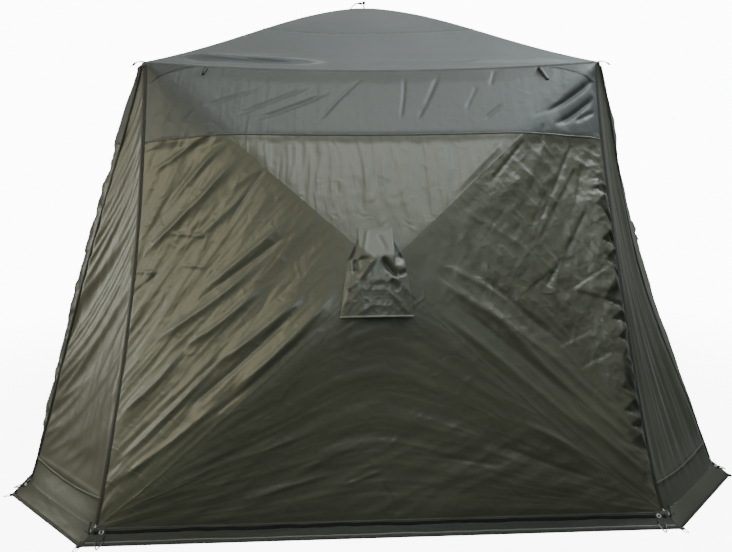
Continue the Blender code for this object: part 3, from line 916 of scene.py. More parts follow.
def make_corner_shade_sheets(side, turn, moved):
    """Dark sheets over a wall's upper corners, painted as the shade under the roof's edge."""
    for hand, word in HANDS:
        shade_sheet = new_object(f"{side}_patch_{word}", flat_grid(14, 10))

        def place(s, t):
            b = 0.945 + 0.047 * t
            inner = 0.78 + 0.19 * ((1 - t) / 2) ** 0.7
            a = hand * (inner + (0.985 - inner) * (1 + s) / 2)
            return wall_cloth_point(a, b, moved, side) + WALL_NORMAL * 0.0022

        lay_out(shade_sheet, place, turn)
        face_outwards(shade_sheet)
        dress(shade_sheet, "corner_shade_cloth")


# Gussets and skirts

def gusset_surface(c, b):
    """The straight panel between two walls' side seams: c runs across it, and b up it."""
    low = side_seam(b, 1)
    high = turn_points(side_seam(b, -1), 1)
    share = ((c + 1) / 2)[:, None]
    return low + (high - low) * share


GUSSET_FLARE = 0.013
# How much painted shade darkens each gusset's foot and each gusset skirt.
FOOT_PAINTED_SHADE = 0.45
GUSSET_OUT = np.array([1, -1, 0.3]) / math.sqrt(2.09)


def gusset_relief(c, b, corner):
    """A gusset's folds, its flare over the skirt and the seam across its foot, as heights off its panel."""
    seed = 700 + 10 * CORNERS.index(corner)
    z = height_share(b)
    width = (1 - z) * 0.6 + 0.02
    x = c * width / 2
    drawn = lattice_noise(x * 22, z * 1.1, seed) * 0.008
    pleats = ridged(lattice_noise(c * 4.2 + 0.5 * z, z * 0.9, seed + 2)) * 0.012 * width
    pleats += ridged(lattice_noise(c * 9.5 + 0.3 * z, z * 1.3, seed + 3)) * 0.005 * width
    across, along = 1.52 * z - x * (0.5 + 2.2 * z), 0.87 * x + 0.9 * z
    diagonal = lattice_noise(across * 5.5, along * 1.2, seed + 1) * 0.012
    diagonal += ridged(lattice_noise(across * 12, along * 1.6, seed + 5)) * 0.0055
    share = 0.15 if corner == "front_right" else 1.0
    relief = (drawn * 0.5 + pleats * 2.2) * (1.1 - share) + diagonal * share
    relief -= 0.014 * (1 - c * c)
    hem_seam = np.exp(-(((z - 0.058) / 0.004) ** 2))
    flat = smooth(0.06, 0.12, z)
    edge = smooth(0, 0.12, 1 - np.abs(c)) * smooth(0, 0.1, 1 - np.abs(b)) * np.minimum(1, width * 6)
    flare = GUSSET_FLARE * np.exp(-((z / 0.035) ** 2)) * (1 - c**4)
    return (relief * (0.25 + 0.75 * flat) + 0.002 * hem_seam) * edge + flare


def make_gusset_cloth(corner, turn):
    """A gusset, with shade painted into the tone of its foot."""
    cloth = new_object(f"{corner}_gusset_cloth", flat_grid(GUSSET_COLUMNS, GUSSET_ROWS))

    def place(c, b):
        return gusset_surface(c, b) + GUSSET_OUT * gusset_relief(c, b, corner)[:, None]

    def painted_foot_shade(c, b):
        return FOOT_PAINTED_SHADE * (1 - smooth(0.050, 0.056, height_share(b)))

    lay_out(cloth, place, turn, wear={"shade": painted_foot_shade})
    face_outwards(cloth)
    finish_cloth(cloth, f"{corner}_gusset", "gusset_cloth")


def make_gusset_fold(corner, turn):
    """The rolled seam across the foot of a gusset."""
    c = np.linspace(-0.985, 0.985, 60)
    b = (0.046 + 0.010 * c * c) / HUB_SHARE - 1
    line = gusset_surface(c, b) + GUSSET_OUT * (gusset_relief(c, b, corner) + 0.001)[:, None]
    profile = (
        (-0.008, 0.0), (-0.0075, 0.0015), (-0.004, 0.0045), (0.0, 0.0030), (0.004, 0.0016), (0.012, 0.0),
    )
    strip(f"{corner}_gusset_fold", line, GUSSET_OUT, profile, "gusset_cloth", turn)


def skirt_ends():
    """The right ends of the front wall's hem and of its skirt's edge on the ground."""
    hem = np.array([FOOT_HALF, -FOOT_OUT, HEM_HEIGHT])
    ground = np.array([FOOT_HALF + SKIRT_FLARE, -FOOT_OUT - SKIRT_REACH, 0.001])
    return hem, ground


def make_skirt_cloth(node, turn, hems, grounds, seed):
    """A skirt, and on a wall's skirt a near-black strip painted as the shadow under its hem and a pale strip
    painted as the highlight along its edge near the ground.
    """
    gusset = "gusset" in node
    cloth = new_object(f"{node}_cloth", flat_grid(70 if gusset else 260, 10))
    length = np.linalg.norm(grounds[1] - grounds[0])
    broad, narrow = (0.002, 0.0005) if gusset else (0.006, 0.002)

    def place(a, b):
        share = ((a + 1) / 2)[:, None]
        down = ((1 - b) / 2)[:, None]
        hem = hems[0] + (hems[1] - hems[0]) * share
        ground = grounds[0] + (grounds[1] - grounds[0]) * share
        points = hem + (ground - hem) * down
        wave = lattice_noise(a * length * 5, b * 1.2, seed) * broad
        wave += lattice_noise(a * length * 14, b * 1.5, seed + 1) * narrow
        middle = (1 - b * b) * (1 - a**8)
        points[:, 2] += (wave + 0.003) * middle
        if gusset:
            points += GUSSET_OUT * (GUSSET_FLARE * (1 - a**4) * ((1 + b) / 2) ** 1.5)[:, None]
        return points

    # Gusset skirts carry the same painted shade as the gussets' feet.
    shade = FOOT_PAINTED_SHADE if gusset else 0
    lay_out(cloth, place, turn, wear={"shade": lambda a, b: np.full(len(a), shade)})
    face_outwards(cloth)
    if gusset:
        finish_cloth(cloth, node, "gusset_cloth")
        return
    finish_cloth(cloth, node, "skirt_cloth")
    a = np.linspace(-0.99, 0.99, 160)
    slope = unit(grounds[1] - hems[1])
    out = unit(np.array([0, slope[2], -slope[1]]))
    for word, b, w, tall, finish in (
        # A near-black strip painted as the shadow under the hem tape.
        ("painted_hem_shadow", 0.46, 0.007, 0.0020, "painted_hem_shadow"),
        # A pale strip painted as the highlight along the skirt's edge near the ground.
        ("painted_edge_highlight", -0.62, 0.0030, 0.0026, "pale_binding_and_highlight"),
    ):
        profile = ((-w, -0.003), (-w * 0.9, tall * 0.8), (0.0, tall), (w * 0.9, tall * 0.8), (w, -0.003))
        line = place(a, np.full(len(a), b))
        strip(f"{node}_{word}", line, out, profile, finish, turn)


# Strips: seams, bindings and webbing

def across_of(line, out):
    """The way across a strip that follows line and faces out."""
    return unit(np.cross(unit(np.gradient(line, axis=0)), out))


def strip(name, line, out, profile, finish, turn=0, across=None):
    """A strip that follows line and faces out, with a cross profile of (offset, height) points in metres."""
    rows = len(line)
    across = np.broadcast_to(across_of(line, out) if across is None else across, line.shape)
    out = np.broadcast_to(out, line.shape)
    offsets, heights = np.array(profile).T
    obj = new_object(name, flat_grid(len(profile) - 1, rows - 1))

    def place(a, b):
        column = np.rint((a + 1) / 2 * (len(profile) - 1)).astype(int)
        row = np.rint((b + 1) / 2 * (rows - 1)).astype(int)
        return line[row] + across[row] * offsets[column][:, None] + out[row] * heights[column][:, None]

    lay_out(obj, place, turn)
    face_outwards(obj)
    dress(obj, finish)


def unit(vectors):
    return vectors / np.maximum(np.linalg.norm(vectors, axis=-1, keepdims=True), 1e-12)


def piping(radius, flat):
    """The profile of a rolled edge with a flat tape on each side."""
    arch = [(radius * math.cos(t), radius * math.sin(t) + 0.001) for t in np.linspace(math.pi, 0, 7)]
    left = [(-flat, 0.0006), (-flat * 0.98, 0.0016), (-radius * 1.3, 0.0014)]
    return left + arch + [(-x, y) for x, y in reversed(left)]


def make_side_seams(side, turn):
    """The zip flap down each side seam: a tape with a rolled edge."""
    for hand, word in HANDS:
        b = np.linspace(0.985, -0.985, 150)
        line = side_seam(b, hand)
        along = unit(np.gradient(line, axis=0))
        out = np.tile(unit(np.array([hand * 0.45, -0.85, 0.28])), (len(b), 1))
        out = unit(out - along * (out * along).sum(1, keepdims=True))
        across = unit(np.cross(along, out))
        line = line + out * 0.001
        strip(f"{side}_{word}_zip_flap", line, out, piping(0.0032, 0.009), "seam_tape", turn, across=across)


def make_eave_binding(side, turn):
    """The bound seam along an eave."""
    a = np.linspace(-0.985, 0.985, 120)
    out = unit(np.array([0, -0.85, 0.5]))
    line = wall_surface(a, np.ones(len(a))) + out * 0.0005
    strip(f"{side}_eave_seam", line, out, piping(0.0018, 0.005), "roof_cloth", turn)


def make_band_seam(side, turn, moved):
    """The lapped edge of the band over the wall."""
    a = np.linspace(-0.99, 0.99, 220)
    line = wall_cloth_point(a, np.full(len(a), BAND_SHARE), moved, side) + WALL_NORMAL * 0.001
    profile = ((-0.005, 0.0002), (-0.0048, 0.0012), (-0.001, 0.0014), (0.001, 0.0014), (0.0015, 0.0002))
    strip(f"{side}_band_seam", line, WALL_NORMAL, profile, "band_cloth", turn)


def make_hem_tape(side, turn):
    """The lighter tape along the seam between a wall and its skirt, with a row of stitches."""
    a = np.linspace(-0.995, 0.995, 160)
    line = skirt_ends()[0] * np.stack([a, np.ones(160), np.ones(160)], axis=1)
    line[:, 1] -= 0.0022
    line[:, 2] -= 0.004 + 0.0012 * lattice_noise(a * 18, a * 0, 66)
    out = unit(np.array([0, -0.85, 0.5]))
    profile = (
        (-0.006, -0.002), (-0.005, 0.002), (0.004, 0.0034), (0.012, 0.0040), (0.017, 0.0020), (0.018, -0.003),
    )
    strip(f"{side}_hem_tape", line, out, profile, "hem_tape", turn)
    stitches(f"{side}_hem_stitches", line + out * 0.0040, turn)


def make_ground_binding(name, start, end, turn):
    """The binding along a skirt's edge on the ground."""
    line = start + (end - start) * np.linspace(0, 1, 60)[:, None]
    line[:, 2] = 0.0035
    out = unit(np.cross(unit(np.gradient(line, axis=0)), UP))
    profile = ((-0.003, 0.0), (-0.0025, 0.002), (0.0, 0.003), (0.005, 0.001), (0.009, -0.004))
    strip(name, line, out, profile, "skirt_cloth", turn, across=UP)


# Hoods

HOOD_UP = 0.15
HOOD_DOWN = 0.17
HOOD_SHIFT = -0.026
HUB_HALF = float(wall_half(np.zeros(1), True)[0])
HOOD_PIXEL = 0.0038
HOOD_LONG = 85

# Its folds, in the photograph's pixels: start, end, width, height in mm, bend.
HOOD_FOLDS = (
    (-2, 29, -19, 53, 4.5, 14, 0),
    (-19, 53, -32, 60, 4.0, 9, 0),
    (-22, 31, -21, 46, 3.5, -24, 0),
    (-19, 32, -3, 33, 3.0, -14, 0),
    (6, 31, 25, 49, 4.0, -34, 2),
    (23, 48, 37, 43, 2.4, -22, -1),
    (14, 52, 24, 61, 4.0, -15, 0),
    (11, 60, 34, 84, 3.5, 5, 0),
    (-20, 83, -2, 72, 3.5, 4, 0),
    (-8, 58, 10, 56, 3.0, -4, 0),
    (-8, 0, -14, 30, 3.0, 4, 0),
    (2, 6, 12, 26, 3.5, -4, 0),
    (-26, 36, -34, 78, 4.0, 7, 0),
)


def hood_half(v):
    """Half the hood's width at a height down it, in the photograph's pixels."""
    return np.interp(v, (0, 12, 33, HOOD_LONG), (18.7, 18.9, 31, 38.5))


def hood_surface(s, t):
    """The hood's cloth: s runs across from -1 to 1, and t runs down from 1 to -1.

    A strip at the top leans out from the wall. The wider lower part hangs from it, with a slit on each
    side of the strip.
    """
    down = (1 - t) / 2
    v = down * HOOD_LONG
    u = s * hood_half(v)
    z = HUB_HEIGHT + HOOD_UP - (HOOD_UP + HOOD_DOWN) * down
    share = (z - HEM_HEIGHT) / (EAVE_HEIGHT - HEM_HEIGHT)
    b = np.where(share > HUB_SHARE, (share - HUB_SHARE) / (1 - HUB_SHARE), share / HUB_SHARE - 1)
    a = (u * HOOD_PIXEL * 0.88 + HOOD_SHIFT) / HUB_HALF
    strip_part = 1 - smooth(18.2, 21.5, np.abs(u))
    lower = smooth(29, 40, v)
    shelf = 0.040 * np.clip(v / 31, 0, 1)
    hung = (0.038 + 0.010 * np.clip((v - 31) / 54, 0, 1)) * (1 - 0.75 * np.abs(s) ** 4 * (1.1 - 0.5 * down))
    stand = (shelf * strip_part + 0.006 * (1 - strip_part)) * (1 - lower) + hung * lower
    for x0, y0, x1, y1, width, height, bend in HOOD_FOLDS:
        stand = stand + fold(u, v, (x0, y0), (x1, y1), width, height / 1000, bend, 0.6)
    crumple = creases(u / 14 + 4, v / 15, 901, 3) * 0.0024 * smooth(30, 50, v)
    rim = smooth(0, 0.04, down)
    return wall_surface(a, b) + WALL_NORMAL * (0.003 + np.maximum(stand + crumple, 0) * rim)[:, None]


def hood_slit_painted_shade(s, t):
    """Painted shade down each side of the hood, in the slit between its top strip and the wall."""
    v = (1 - t) / 2 * HOOD_LONG
    inside = hood_half(v) * (1 - np.abs(s))
    wide = 4.2 * np.clip((v - 11) / 12, 0, 1)
    return 1.6 * smooth(10.5, 13, v) * (1 - smooth(30, 33, v)) * (1 - smooth(-0.8, 0.8, inside - wide))


def make_hood(side, turn):
    """A hood, sewn down at its top, with a binding along its open lower edge."""
    bm = flat_grid(84, 100) if side == "front" else flat_grid(60, 72)
    cloth = new_object(f"{side}_hood_cloth", bm)
    # The hood's slits get painted shade.
    lay_out(cloth, hood_surface, turn, wear={"shade": hood_slit_painted_shade})
    face_outwards(cloth)
    solid = cloth.modifiers.new("thickness", "SOLIDIFY")
    solid.thickness = 0.0012
    solid.offset = -1
    finish_cloth(cloth, f"{side}_hood", "hood_cloth")
    s = np.linspace(-1, 1, 40)
    edge = hood_surface(s, np.full(len(s), -1.0))
    profile = ((-0.005, 0.0004), (-0.0045, 0.0014), (0.0, 0.002), (0.003, 0.0014), (0.0035, -0.0025))
    strip(f"{side}_hood_binding", edge, WALL_NORMAL, profile, "pale_binding_and_highlight", turn)
    t = np.linspace(0.7, -0.98, 90)
    for hand, word in HANDS:
        line = hood_surface(np.full(len(t), hand * 0.965), t)
        stitches(f"{side}_hood_stitches_{word}", line, turn)
    stitches(f"{side}_hood_top_stitches", hood_surface(s * 0.95, np.full(len(s), 0.97)), turn)


# Small parts: webbing, wire and stitches

def loft(name, centres, across, out, profile, finish, turn=0, closed=False):
    """A solid bar along centres, with a closed profile of (across, out) points in metres."""
    rows = len(centres) + (1 if closed else 0)
    obj = new_object(name, flat_grid(len(profile), rows - 1))
    ring = np.array([*profile, profile[0]])

    def place(a, b):
        column = np.rint((a + 1) / 2 * len(profile)).astype(int)
        row = np.rint((b + 1) / 2 * (rows - 1)).astype(int) % len(centres)
        return centres[row] + across[row] * ring[column, 0:1] + out[row] * ring[column, 1:2]

    lay_out(obj, place, turn)
    bm = bmesh.new()
    bm.from_mesh(obj.data)
    bmesh.ops.remove_doubles(bm, verts=bm.verts, dist=1e-6)
    bmesh.ops.holes_fill(bm, edges=[e for e in bm.edges if e.is_boundary], sides=0)
    bmesh.ops.recalc_face_normals(bm, faces=bm.faces)
    bm.to_mesh(obj.data)
    bm.free()
    obj.data.shade_smooth()
    dress(obj, finish)
    return obj


def rounded_line(points, closed=False, rounds=3):
    """A line with its corners rounded off."""
    points = np.array(points, float)
    for _ in range(rounds):
        ahead = np.roll(points, -1, axis=0)
        near, far = points * 0.75 + ahead * 0.25, points * 0.25 + ahead * 0.75
        cut_line = np.stack([near, far], axis=1).reshape(-1, 3)
        points = cut_line if closed else np.concatenate([points[:1], cut_line[:-2], points[-1:]])
    return points


def wire(name, points, normal, radius, finish, turn=0, closed=False):
    """A round wire that lies about square to normal."""
    if closed:
        way = unit(np.roll(points, -1, axis=0) - np.roll(points, 1, axis=0))
    else:
        way = unit(np.gradient(points, axis=0))
    side = unit(np.cross(way, unit(np.array(normal, float))))
    up = unit(np.cross(side, way))
    angles = np.linspace(0, 2 * math.pi, 9)[:-1]
    profile = [(radius * math.cos(t), radius * math.sin(t)) for t in angles]
    loft(name, points, side, up, profile, finish, turn, closed=closed)


def webbing_profile(width, thick):
    """A flat woven band with a bead down each edge."""
    w, t = width / 2, thick / 2
    half = [(w, 0), (w - 0.0006, t * 1.15), (w - 0.0022, t * 1.1), (w - 0.003, t * 0.8), (w * 0.4, t), (0, t)]
    top = half + [(-x, y) for x, y in reversed(half[1:-1])]
    return top + [(-w, 0)] + [(x, -y) for x, y in reversed(top[1:])]


def webbing(name, line, out, width, thick, turn=0, finish="webbing"):
    """A band of webbing along line, which faces out."""
    out = np.broadcast_to(unit(np.array(out, float)), line.shape)
    along = unit(np.gradient(line, axis=0))
    out = unit(out - along * (out * along).sum(1, keepdims=True))
    across = unit(np.cross(along, out))
    return loft(name, line, across, out, webbing_profile(width, thick), finish, turn)


def stitches(name, line, turn=0, step=0.0048, length=0.0036, radius=0.00045):
    """A row of stitches along a line, each a small spindle of thread."""
    reach = np.concatenate([[0], np.cumsum(np.linalg.norm(np.diff(line, axis=0), axis=1))])
    bm = bmesh.new()
    for at in np.arange(step / 2, reach[-1], step):
        start, end = [
            Vector([np.interp(at + d * length / 2, reach, line[:, k]) for k in range(3)]) for d in (-1, 1)
        ]
        way = (end - start).to_track_quat("Z", "Y").to_matrix().to_4x4()
        spot = Matrix.Translation((start + end) / 2) @ way
        bmesh.ops.create_cone(
            bm, segments=4, radius1=radius, radius2=radius, depth=length, cap_ends=True, matrix=spot
        )
    obj = new_object(name, bm)
    set_points(obj.data, turn_points(points_of(obj.data), turn))
    obj.data.shade_smooth()
    dress(obj, "thread")


def circle(centre, one, two, radius, count=28):
    angles = np.linspace(0, 2 * math.pi, count + 1)[:-1, None]
    return centre + (np.cos(angles) * one + np.sin(angles) * two) * radius


def make_foot_tab(side, word, hand, turn):
    """A peg tab: webbing sewn to the hem, an eyelet in it, and a wire ring through its end."""
    hem, ground = skirt_ends()
    start = np.array([hand * (FOOT_HALF - TAB_INSET), hem[1], hem[2]])
    down = unit(np.array([0, ground[1] - hem[1], -hem[2]]))
    out = unit(np.cross(RIGHTWARD, down))
    out = out if out[2] > 0 else -out
    name = f"{side}_tab_{word}"
    reach = np.array([-0.006, 0.0, 0.015, 0.030, 0.042, 0.050, 0.055, 0.0575, 0.056])[:, None]
    lift = np.array([0.0045, 0.0035, 0.0025, 0.0022, 0.0022, 0.0024, 0.0030, 0.0048, 0.0062])[:, None]
    line = rounded_line(start + down * reach + out * lift, rounds=2)
    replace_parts(webbing(f"{name}_webbing", line, out, 0.0255, 0.0018, turn), name)
    turned = np.array([0.056, 0.050, 0.038, 0.032])[:, None]
    flap = rounded_line(start + down * turned + out * 0.0058, rounds=2)
    webbing(f"{name}_turned_end", flap, out, 0.0250, 0.0016, turn)
    box = ((-0.010, 0.036), (0.010, 0.036), (0.010, 0.047), (-0.010, 0.047), (-0.010, 0.036), (0.010, 0.047))
    path = np.array([start + RIGHTWARD * x + down * y + out * 0.0068 for x, y in box])
    stitches(f"{name}_box_stitches", path, turn, 0.0032, 0.0024, 0.0004)
    eye = start + down * 0.020 + out * 0.0042
    wire(f"{name}_eyelet", circle(eye, RIGHTWARD, down, 0.0072), out, 0.0021, "eyelet_steel", turn, True)
    hole = circle(eye - out * 0.0006, RIGHTWARD, down, 0.0030, 16)
    wire(f"{name}_eyelet_hole", hole, out, 0.0030, "moulded_plastic", turn, True)
    top = start + down * 0.0535 + out * 0.0040
    low = np.array([top[0], top[1] - 0.037, 0.0026])
    upper, side_way, shoulder = RIGHTWARD * 0.0165, RIGHTWARD * 0.0138, (low - top) * 0.22
    foot = RIGHTWARD * 0.0036
    bend = [top - upper, top + upper, top + side_way + shoulder,
            low + foot, low - foot, top - side_way + shoulder]
    plane = np.cross(low - top, RIGHTWARD)
    wire(f"{name}_ring", rounded_line(bend, closed=True), plane, 0.0024, "wire_steel", turn, True)


def make_pole_tip(side, word, hand, turn):
    """The end of a leg pole at the hem: a white ball, with a hook of wire in a short dark strap."""
    foot = np.array([hand * (FOOT_HALF + 0.010), -FOOT_OUT - 0.006, HEM_HEIGHT])
    name = f"{side}_pole_tip_{word}"
    centre = foot + np.array([hand * 0.006, -0.006, -0.004])
    bm = bmesh.new()
    bmesh.ops.create_uvsphere(bm, u_segments=14, v_segments=9, radius=0.0065)
    for vert in bm.verts:
        vert.co.z *= 1.25
        if math.hypot(vert.co.x, vert.co.y) > 0.0055:
            vert.co.x *= 1.06
            vert.co.y *= 1.06
    ball = new_object(f"{name}_ball", bm)
    set_points(ball.data, turn_points(points_of(ball.data) + centre, turn))
    ball.data.shade_smooth()
    dress(ball, "white_moulding")
    strap = rounded_line([foot + [0, 0.002, 0.028], foot + [hand * 0.004, -0.004, 0.012],
                          centre + [hand * 0.001, -0.008, 0.0], centre + [0, -0.007, -0.016],
                          centre + [-hand * 0.004, -0.004, -0.028]], rounds=2)
    webbing(f"{name}_strap", strap, (hand * 0.3, -1, 0.2), 0.010, 0.0016, turn)
    curl = centre + [hand * 0.004, -0.009, 0.004]
    angles = np.linspace(-2.2, 2.0, 22)[:, None]
    hook = curl + (np.cos(angles) * [hand * 1.0, -0.2, 0] + np.sin(angles) * [0, -0.1, 1.0]) * 0.0062
    wire(f"{name}_hook", hook, (hand * 0.2, -1, 0), 0.0011, "wire_steel", turn)


def make_corner_ring(name, corner, way, turn):
    """A loop of webbing and a triangular ring at a corner of the skirt, for a guy peg."""
    way = unit(np.array([*way, 0.0]))
    side = np.array([-way[1], way[0], 0.0])
    base = np.array([corner[0], corner[1], 0.004])
    spots = ((-0.022, 0.008), (-0.006, 0.003), (0.008, 0.0035), (0.0115, 0.0010), (0.008, -0.0022),
             (-0.004, -0.0024))
    loop = rounded_line([base + way * far + UP * rise for far, rise in spots], rounds=2)
    webbing(f"{name}_loop", loop, UP, 0.016, 0.0014, turn)
    near, tip = base + way * 0.0085, base + way * 0.034
    bend = [near + side * 0.0115, near - side * 0.0115, tip - side * 0.002, tip + side * 0.002]
    ring = rounded_line(bend, closed=True) + [0, 0, -0.0016]
    wire(f"{name}_ring", ring, UP, 0.0014, "wire_steel", turn, True)


def make_toggle(side, word, share, turn, long):
    """A toggle on a loop under the eave, with the short tail of its tape."""
    at = np.array([share])
    top = wall_surface(at, np.array([0.985]))[0]
    low = wall_surface(at, np.array([0.985 - (0.10 if long else 0.07)]))[0]
    way = unit(low - top)
    out = WALL_NORMAL
    name = f"{side}_toggle_{word}"
    lean = RIGHTWARD * (0.35 if long else -0.25)
    slant = way + lean
    loop = rounded_line([top + out * 0.003, top + out * 0.010 + way * 0.006,
                         top + out * 0.013 + slant * 0.020, top + out * 0.010 + slant * 0.032], rounds=2)
    webbing(f"{name}_loop", loop, out, 0.010, 0.0014, turn)
    half = 0.036 if long else 0.019
    centre = top + out * 0.016 + slant * (0.040 if long else 0.022)
    steps = np.linspace(-1, 1, 15)[:, None]
    bar = centre + unit(way + lean * 1.2) * steps * half + out * (-0.004 * steps**2)
    wire(f"{name}_bar", bar, out, 0.0075 if long else 0.0055, "moulded_plastic", turn)
    tail = rounded_line([centre + out * 0.002, centre - RIGHTWARD * 0.012 + way * 0.010 - out * 0.006,
                         centre - RIGHTWARD * 0.020 + way * 0.022 - out * 0.007], rounds=2)
    webbing(f"{name}_tail", tail, out, 0.007, 0.0012, turn, "tan_tape")


def make_corner_tail(corner, turn):
    """The webbing tail at a corner of the eaves, drooping past its last stitches."""
    out = unit(np.array([1.0, -1.0, 0]))
    side = unit(np.array([1.0, 1.0, 0]))
    base = np.array([EAVE_HALF, -EAVE_HALF, EAVE_HEIGHT]) - out * 0.010
    line = rounded_line([base + UP * 0.003, base + out * 0.012 + UP * 0.0035, base + out * 0.026 + UP * 0.001,
                         base + out * 0.040 - UP * 0.006, base + out * 0.048 - UP * 0.016], rounds=2)
    tail = webbing(f"{corner}_corner_webbing", line, UP + out * 0.3, 0.0250, 0.0018, turn)
    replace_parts(tail, f"{corner}_corner_tab")
    box = ((-0.009, 0.013), (0.009, 0.013), (0.009, 0.022), (-0.009, 0.022), (-0.009, 0.013))
    path = np.array([base + side * x + out * y + UP * 0.0040 for x, y in box])
    stitches(f"{corner}_corner_stitches", path, turn, 0.0034, 0.0025, 0.0004)


def make_roof_strap():
    """The pull strap beside the roof's knob: webbing that rises from its sewn base into a clip."""
    def above(x, rise, y=0):
        return roof_surface(np.array([x / EAVE_HALF]), np.array([0.0]))[0] + [0, y, rise]

    spots = ((-0.106, 0.0035), (-0.096, 0.004), (-0.080, 0.010), (-0.062, 0.024), (-0.045, 0.034),
             (-0.028, 0.036), (-0.016, 0.030))
    line = rounded_line([above(x, rise) for x, rise in spots], rounds=2)
    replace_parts(webbing("roof_strap_webbing", line, UP, 0.0250, 0.0018), "roof_pull_strap")
    base = rounded_line([above(x, 0.0024) for x in (-0.108, -0.095, -0.080, -0.060, -0.044)], rounds=1)
    webbing("roof_strap_base", base, UP, 0.0255, 0.0016)
    sewn = np.array([above(-0.101, 0.0052, y) for y in (-0.010, 0, 0.010)])
    stitches("roof_strap_stitches", sewn, 0, 0.0032, 0.0024, 0.0004)
    clip = above(-0.020, 0.034)
    body = [clip + [x, 0, z] for x, z in ((-0.009, 0.001), (-0.002, 0.002), (0.006, 0.0), (0.010, -0.003))]
    webbing("roof_strap_clip", rounded_line(body, rounds=2), UP, 0.020, 0.0065, 0, "moulded_plastic")


# Materials

def new_material(name):
    mat = bpy.data.materials.new(name)
    mat.use_nodes = True
    return mat, mat.node_tree, mat.node_tree.nodes["Principled BSDF"]


def set_inputs(tree, node, inputs):
    """Sets a node's inputs, by name or by place, to values or to what other nodes' sockets give."""
    for key, value in inputs.items():
        if isinstance(value, bpy.types.NodeSocket):
            tree.links.new(value, node.inputs[key])
        else:
            node.inputs[key].default_value = value


def add_node(tree, kind, inputs=None, **settings):
    """A shader node with its settings made and its inputs set."""
    node = tree.nodes.new(kind)
    for name, value in settings.items():
        setattr(node, name, value)
    set_inputs(tree, node, inputs or {})
    return node


def noise_node(tree, vector, scale, detail, distortion=0.0, kind="FBM"):
    """The height of a noise over a surface."""
    inputs = {"Vector": vector, "Scale": scale, "Detail": detail, "Distortion": distortion}
    return add_node(tree, "ShaderNodeTexNoise", inputs, noise_type=kind).outputs["Fac"]


def maths(tree, operation, *values):
    return add_node(tree, "ShaderNodeMath", dict(enumerate(values)), operation=operation).outputs["Value"]


def mix_shaders(tree, share, first, second):
    return add_node(tree, "ShaderNodeMixShader", {"Fac": share, 1: first, 2: second}).outputs["Shader"]


def mix_by_camera(tree, lighting, shown, output):
    """Sends one shader to the camera and another to all the light that falls on the tent."""
    seen = add_node(tree, "ShaderNodeLightPath").outputs["Is Camera Ray"]
    tree.links.new(mix_shaders(tree, seen, lighting, shown), output.inputs["Surface"])


def ramp(tree, value, *stops):
    """The colour of a ramp over value, from its two stops of (position, colour)."""
    node = add_node(tree, "ShaderNodeValToRGB", {"Fac": value})
    for element, (position, colour) in zip(node.color_ramp.elements, stops):
        element.position = position
        element.color = (*colour, 1)
    return node.outputs["Color"]


def cloth_group():
    """Coated cloth close up: its weave, its crinkles, the sharp creases along its folds, and its facets."""
    tree = bpy.data.node_groups.new("cloth_close_up", "ShaderNodeTree")
    for way, names in (("INPUT", ("Streaks", "Crinkles", "Facets")), ("OUTPUT", ("Height", "Mottle"))):
        for name in names:
            tree.interface.new_socket(name=name, in_out=way, socket_type="NodeSocketFloat")
    given = tree.nodes.new("NodeGroupInput").outputs
    result = tree.nodes.new("NodeGroupOutput")
    place = add_node(tree, "ShaderNodeTexCoord").outputs["Object"]
    own = add_node(tree, "ShaderNodeUVMap", uv_map="creases").outputs["UV"]
    drawn = add_node(tree, "ShaderNodeMapping", {"Vector": own, "Scale": (2.2, 19, 1)}).outputs["Vector"]
    fine = add_node(tree, "ShaderNodeMapping", {"Vector": own, "Scale": (7, 48, 1)}).outputs["Vector"]
    long_streaks = noise_node(tree, drawn, 1.0, 3, 0.5, "RIDGED_MULTIFRACTAL")
    short_streaks = noise_node(tree, fine, 1.0, 2, 0.3, "RIDGED_MULTIFRACTAL")
    crinkle = noise_node(tree, place, 17, 3, 0.8, "RIDGED_MULTIFRACTAL")
    weave = noise_node(tree, place, 900, 1)
    streaked = maths(tree, "ADD", long_streaks, maths(tree, "MULTIPLY", short_streaks, 0.35))
    streaked = maths(tree, "MULTIPLY", streaked, given["Streaks"])
    crinkled = maths(tree, "MULTIPLY", crinkle, given["Crinkles"])
    bend = add_node(tree, "ShaderNodeTexNoise", {"Vector": place, "Scale": 9.0, "Detail": 2.0})
    shift = {0: bend.outputs["Color"], 1: (0.16, 0.16, 0.16), 2: place}
    bent = add_node(tree, "ShaderNodeVectorMath", shift, operation="MULTIPLY_ADD").outputs["Vector"]
    faceted = 0.0
    for scale, share in ((8.0, 1.7), (19.0, 0.6), (43.0, 0.15)):
        cell = add_node(tree, "ShaderNodeTexVoronoi", {"Vector": bent, "Scale": scale}).outputs["Distance"]
        bowl = maths(tree, "MULTIPLY", maths(tree, "POWER", cell, 2.0), share)
        faceted = maths(tree, "ADD", faceted, bowl)
    height = maths(tree, "ADD", maths(tree, "ADD", streaked, crinkled), maths(tree, "MULTIPLY", weave, 0.02))
    height = maths(tree, "ADD", height, maths(tree, "MULTIPLY", faceted, given["Facets"]))
    set_inputs(tree, result, {"Height": height, "Mottle": noise_node(tree, place, 2.3, 4)})
    return tree


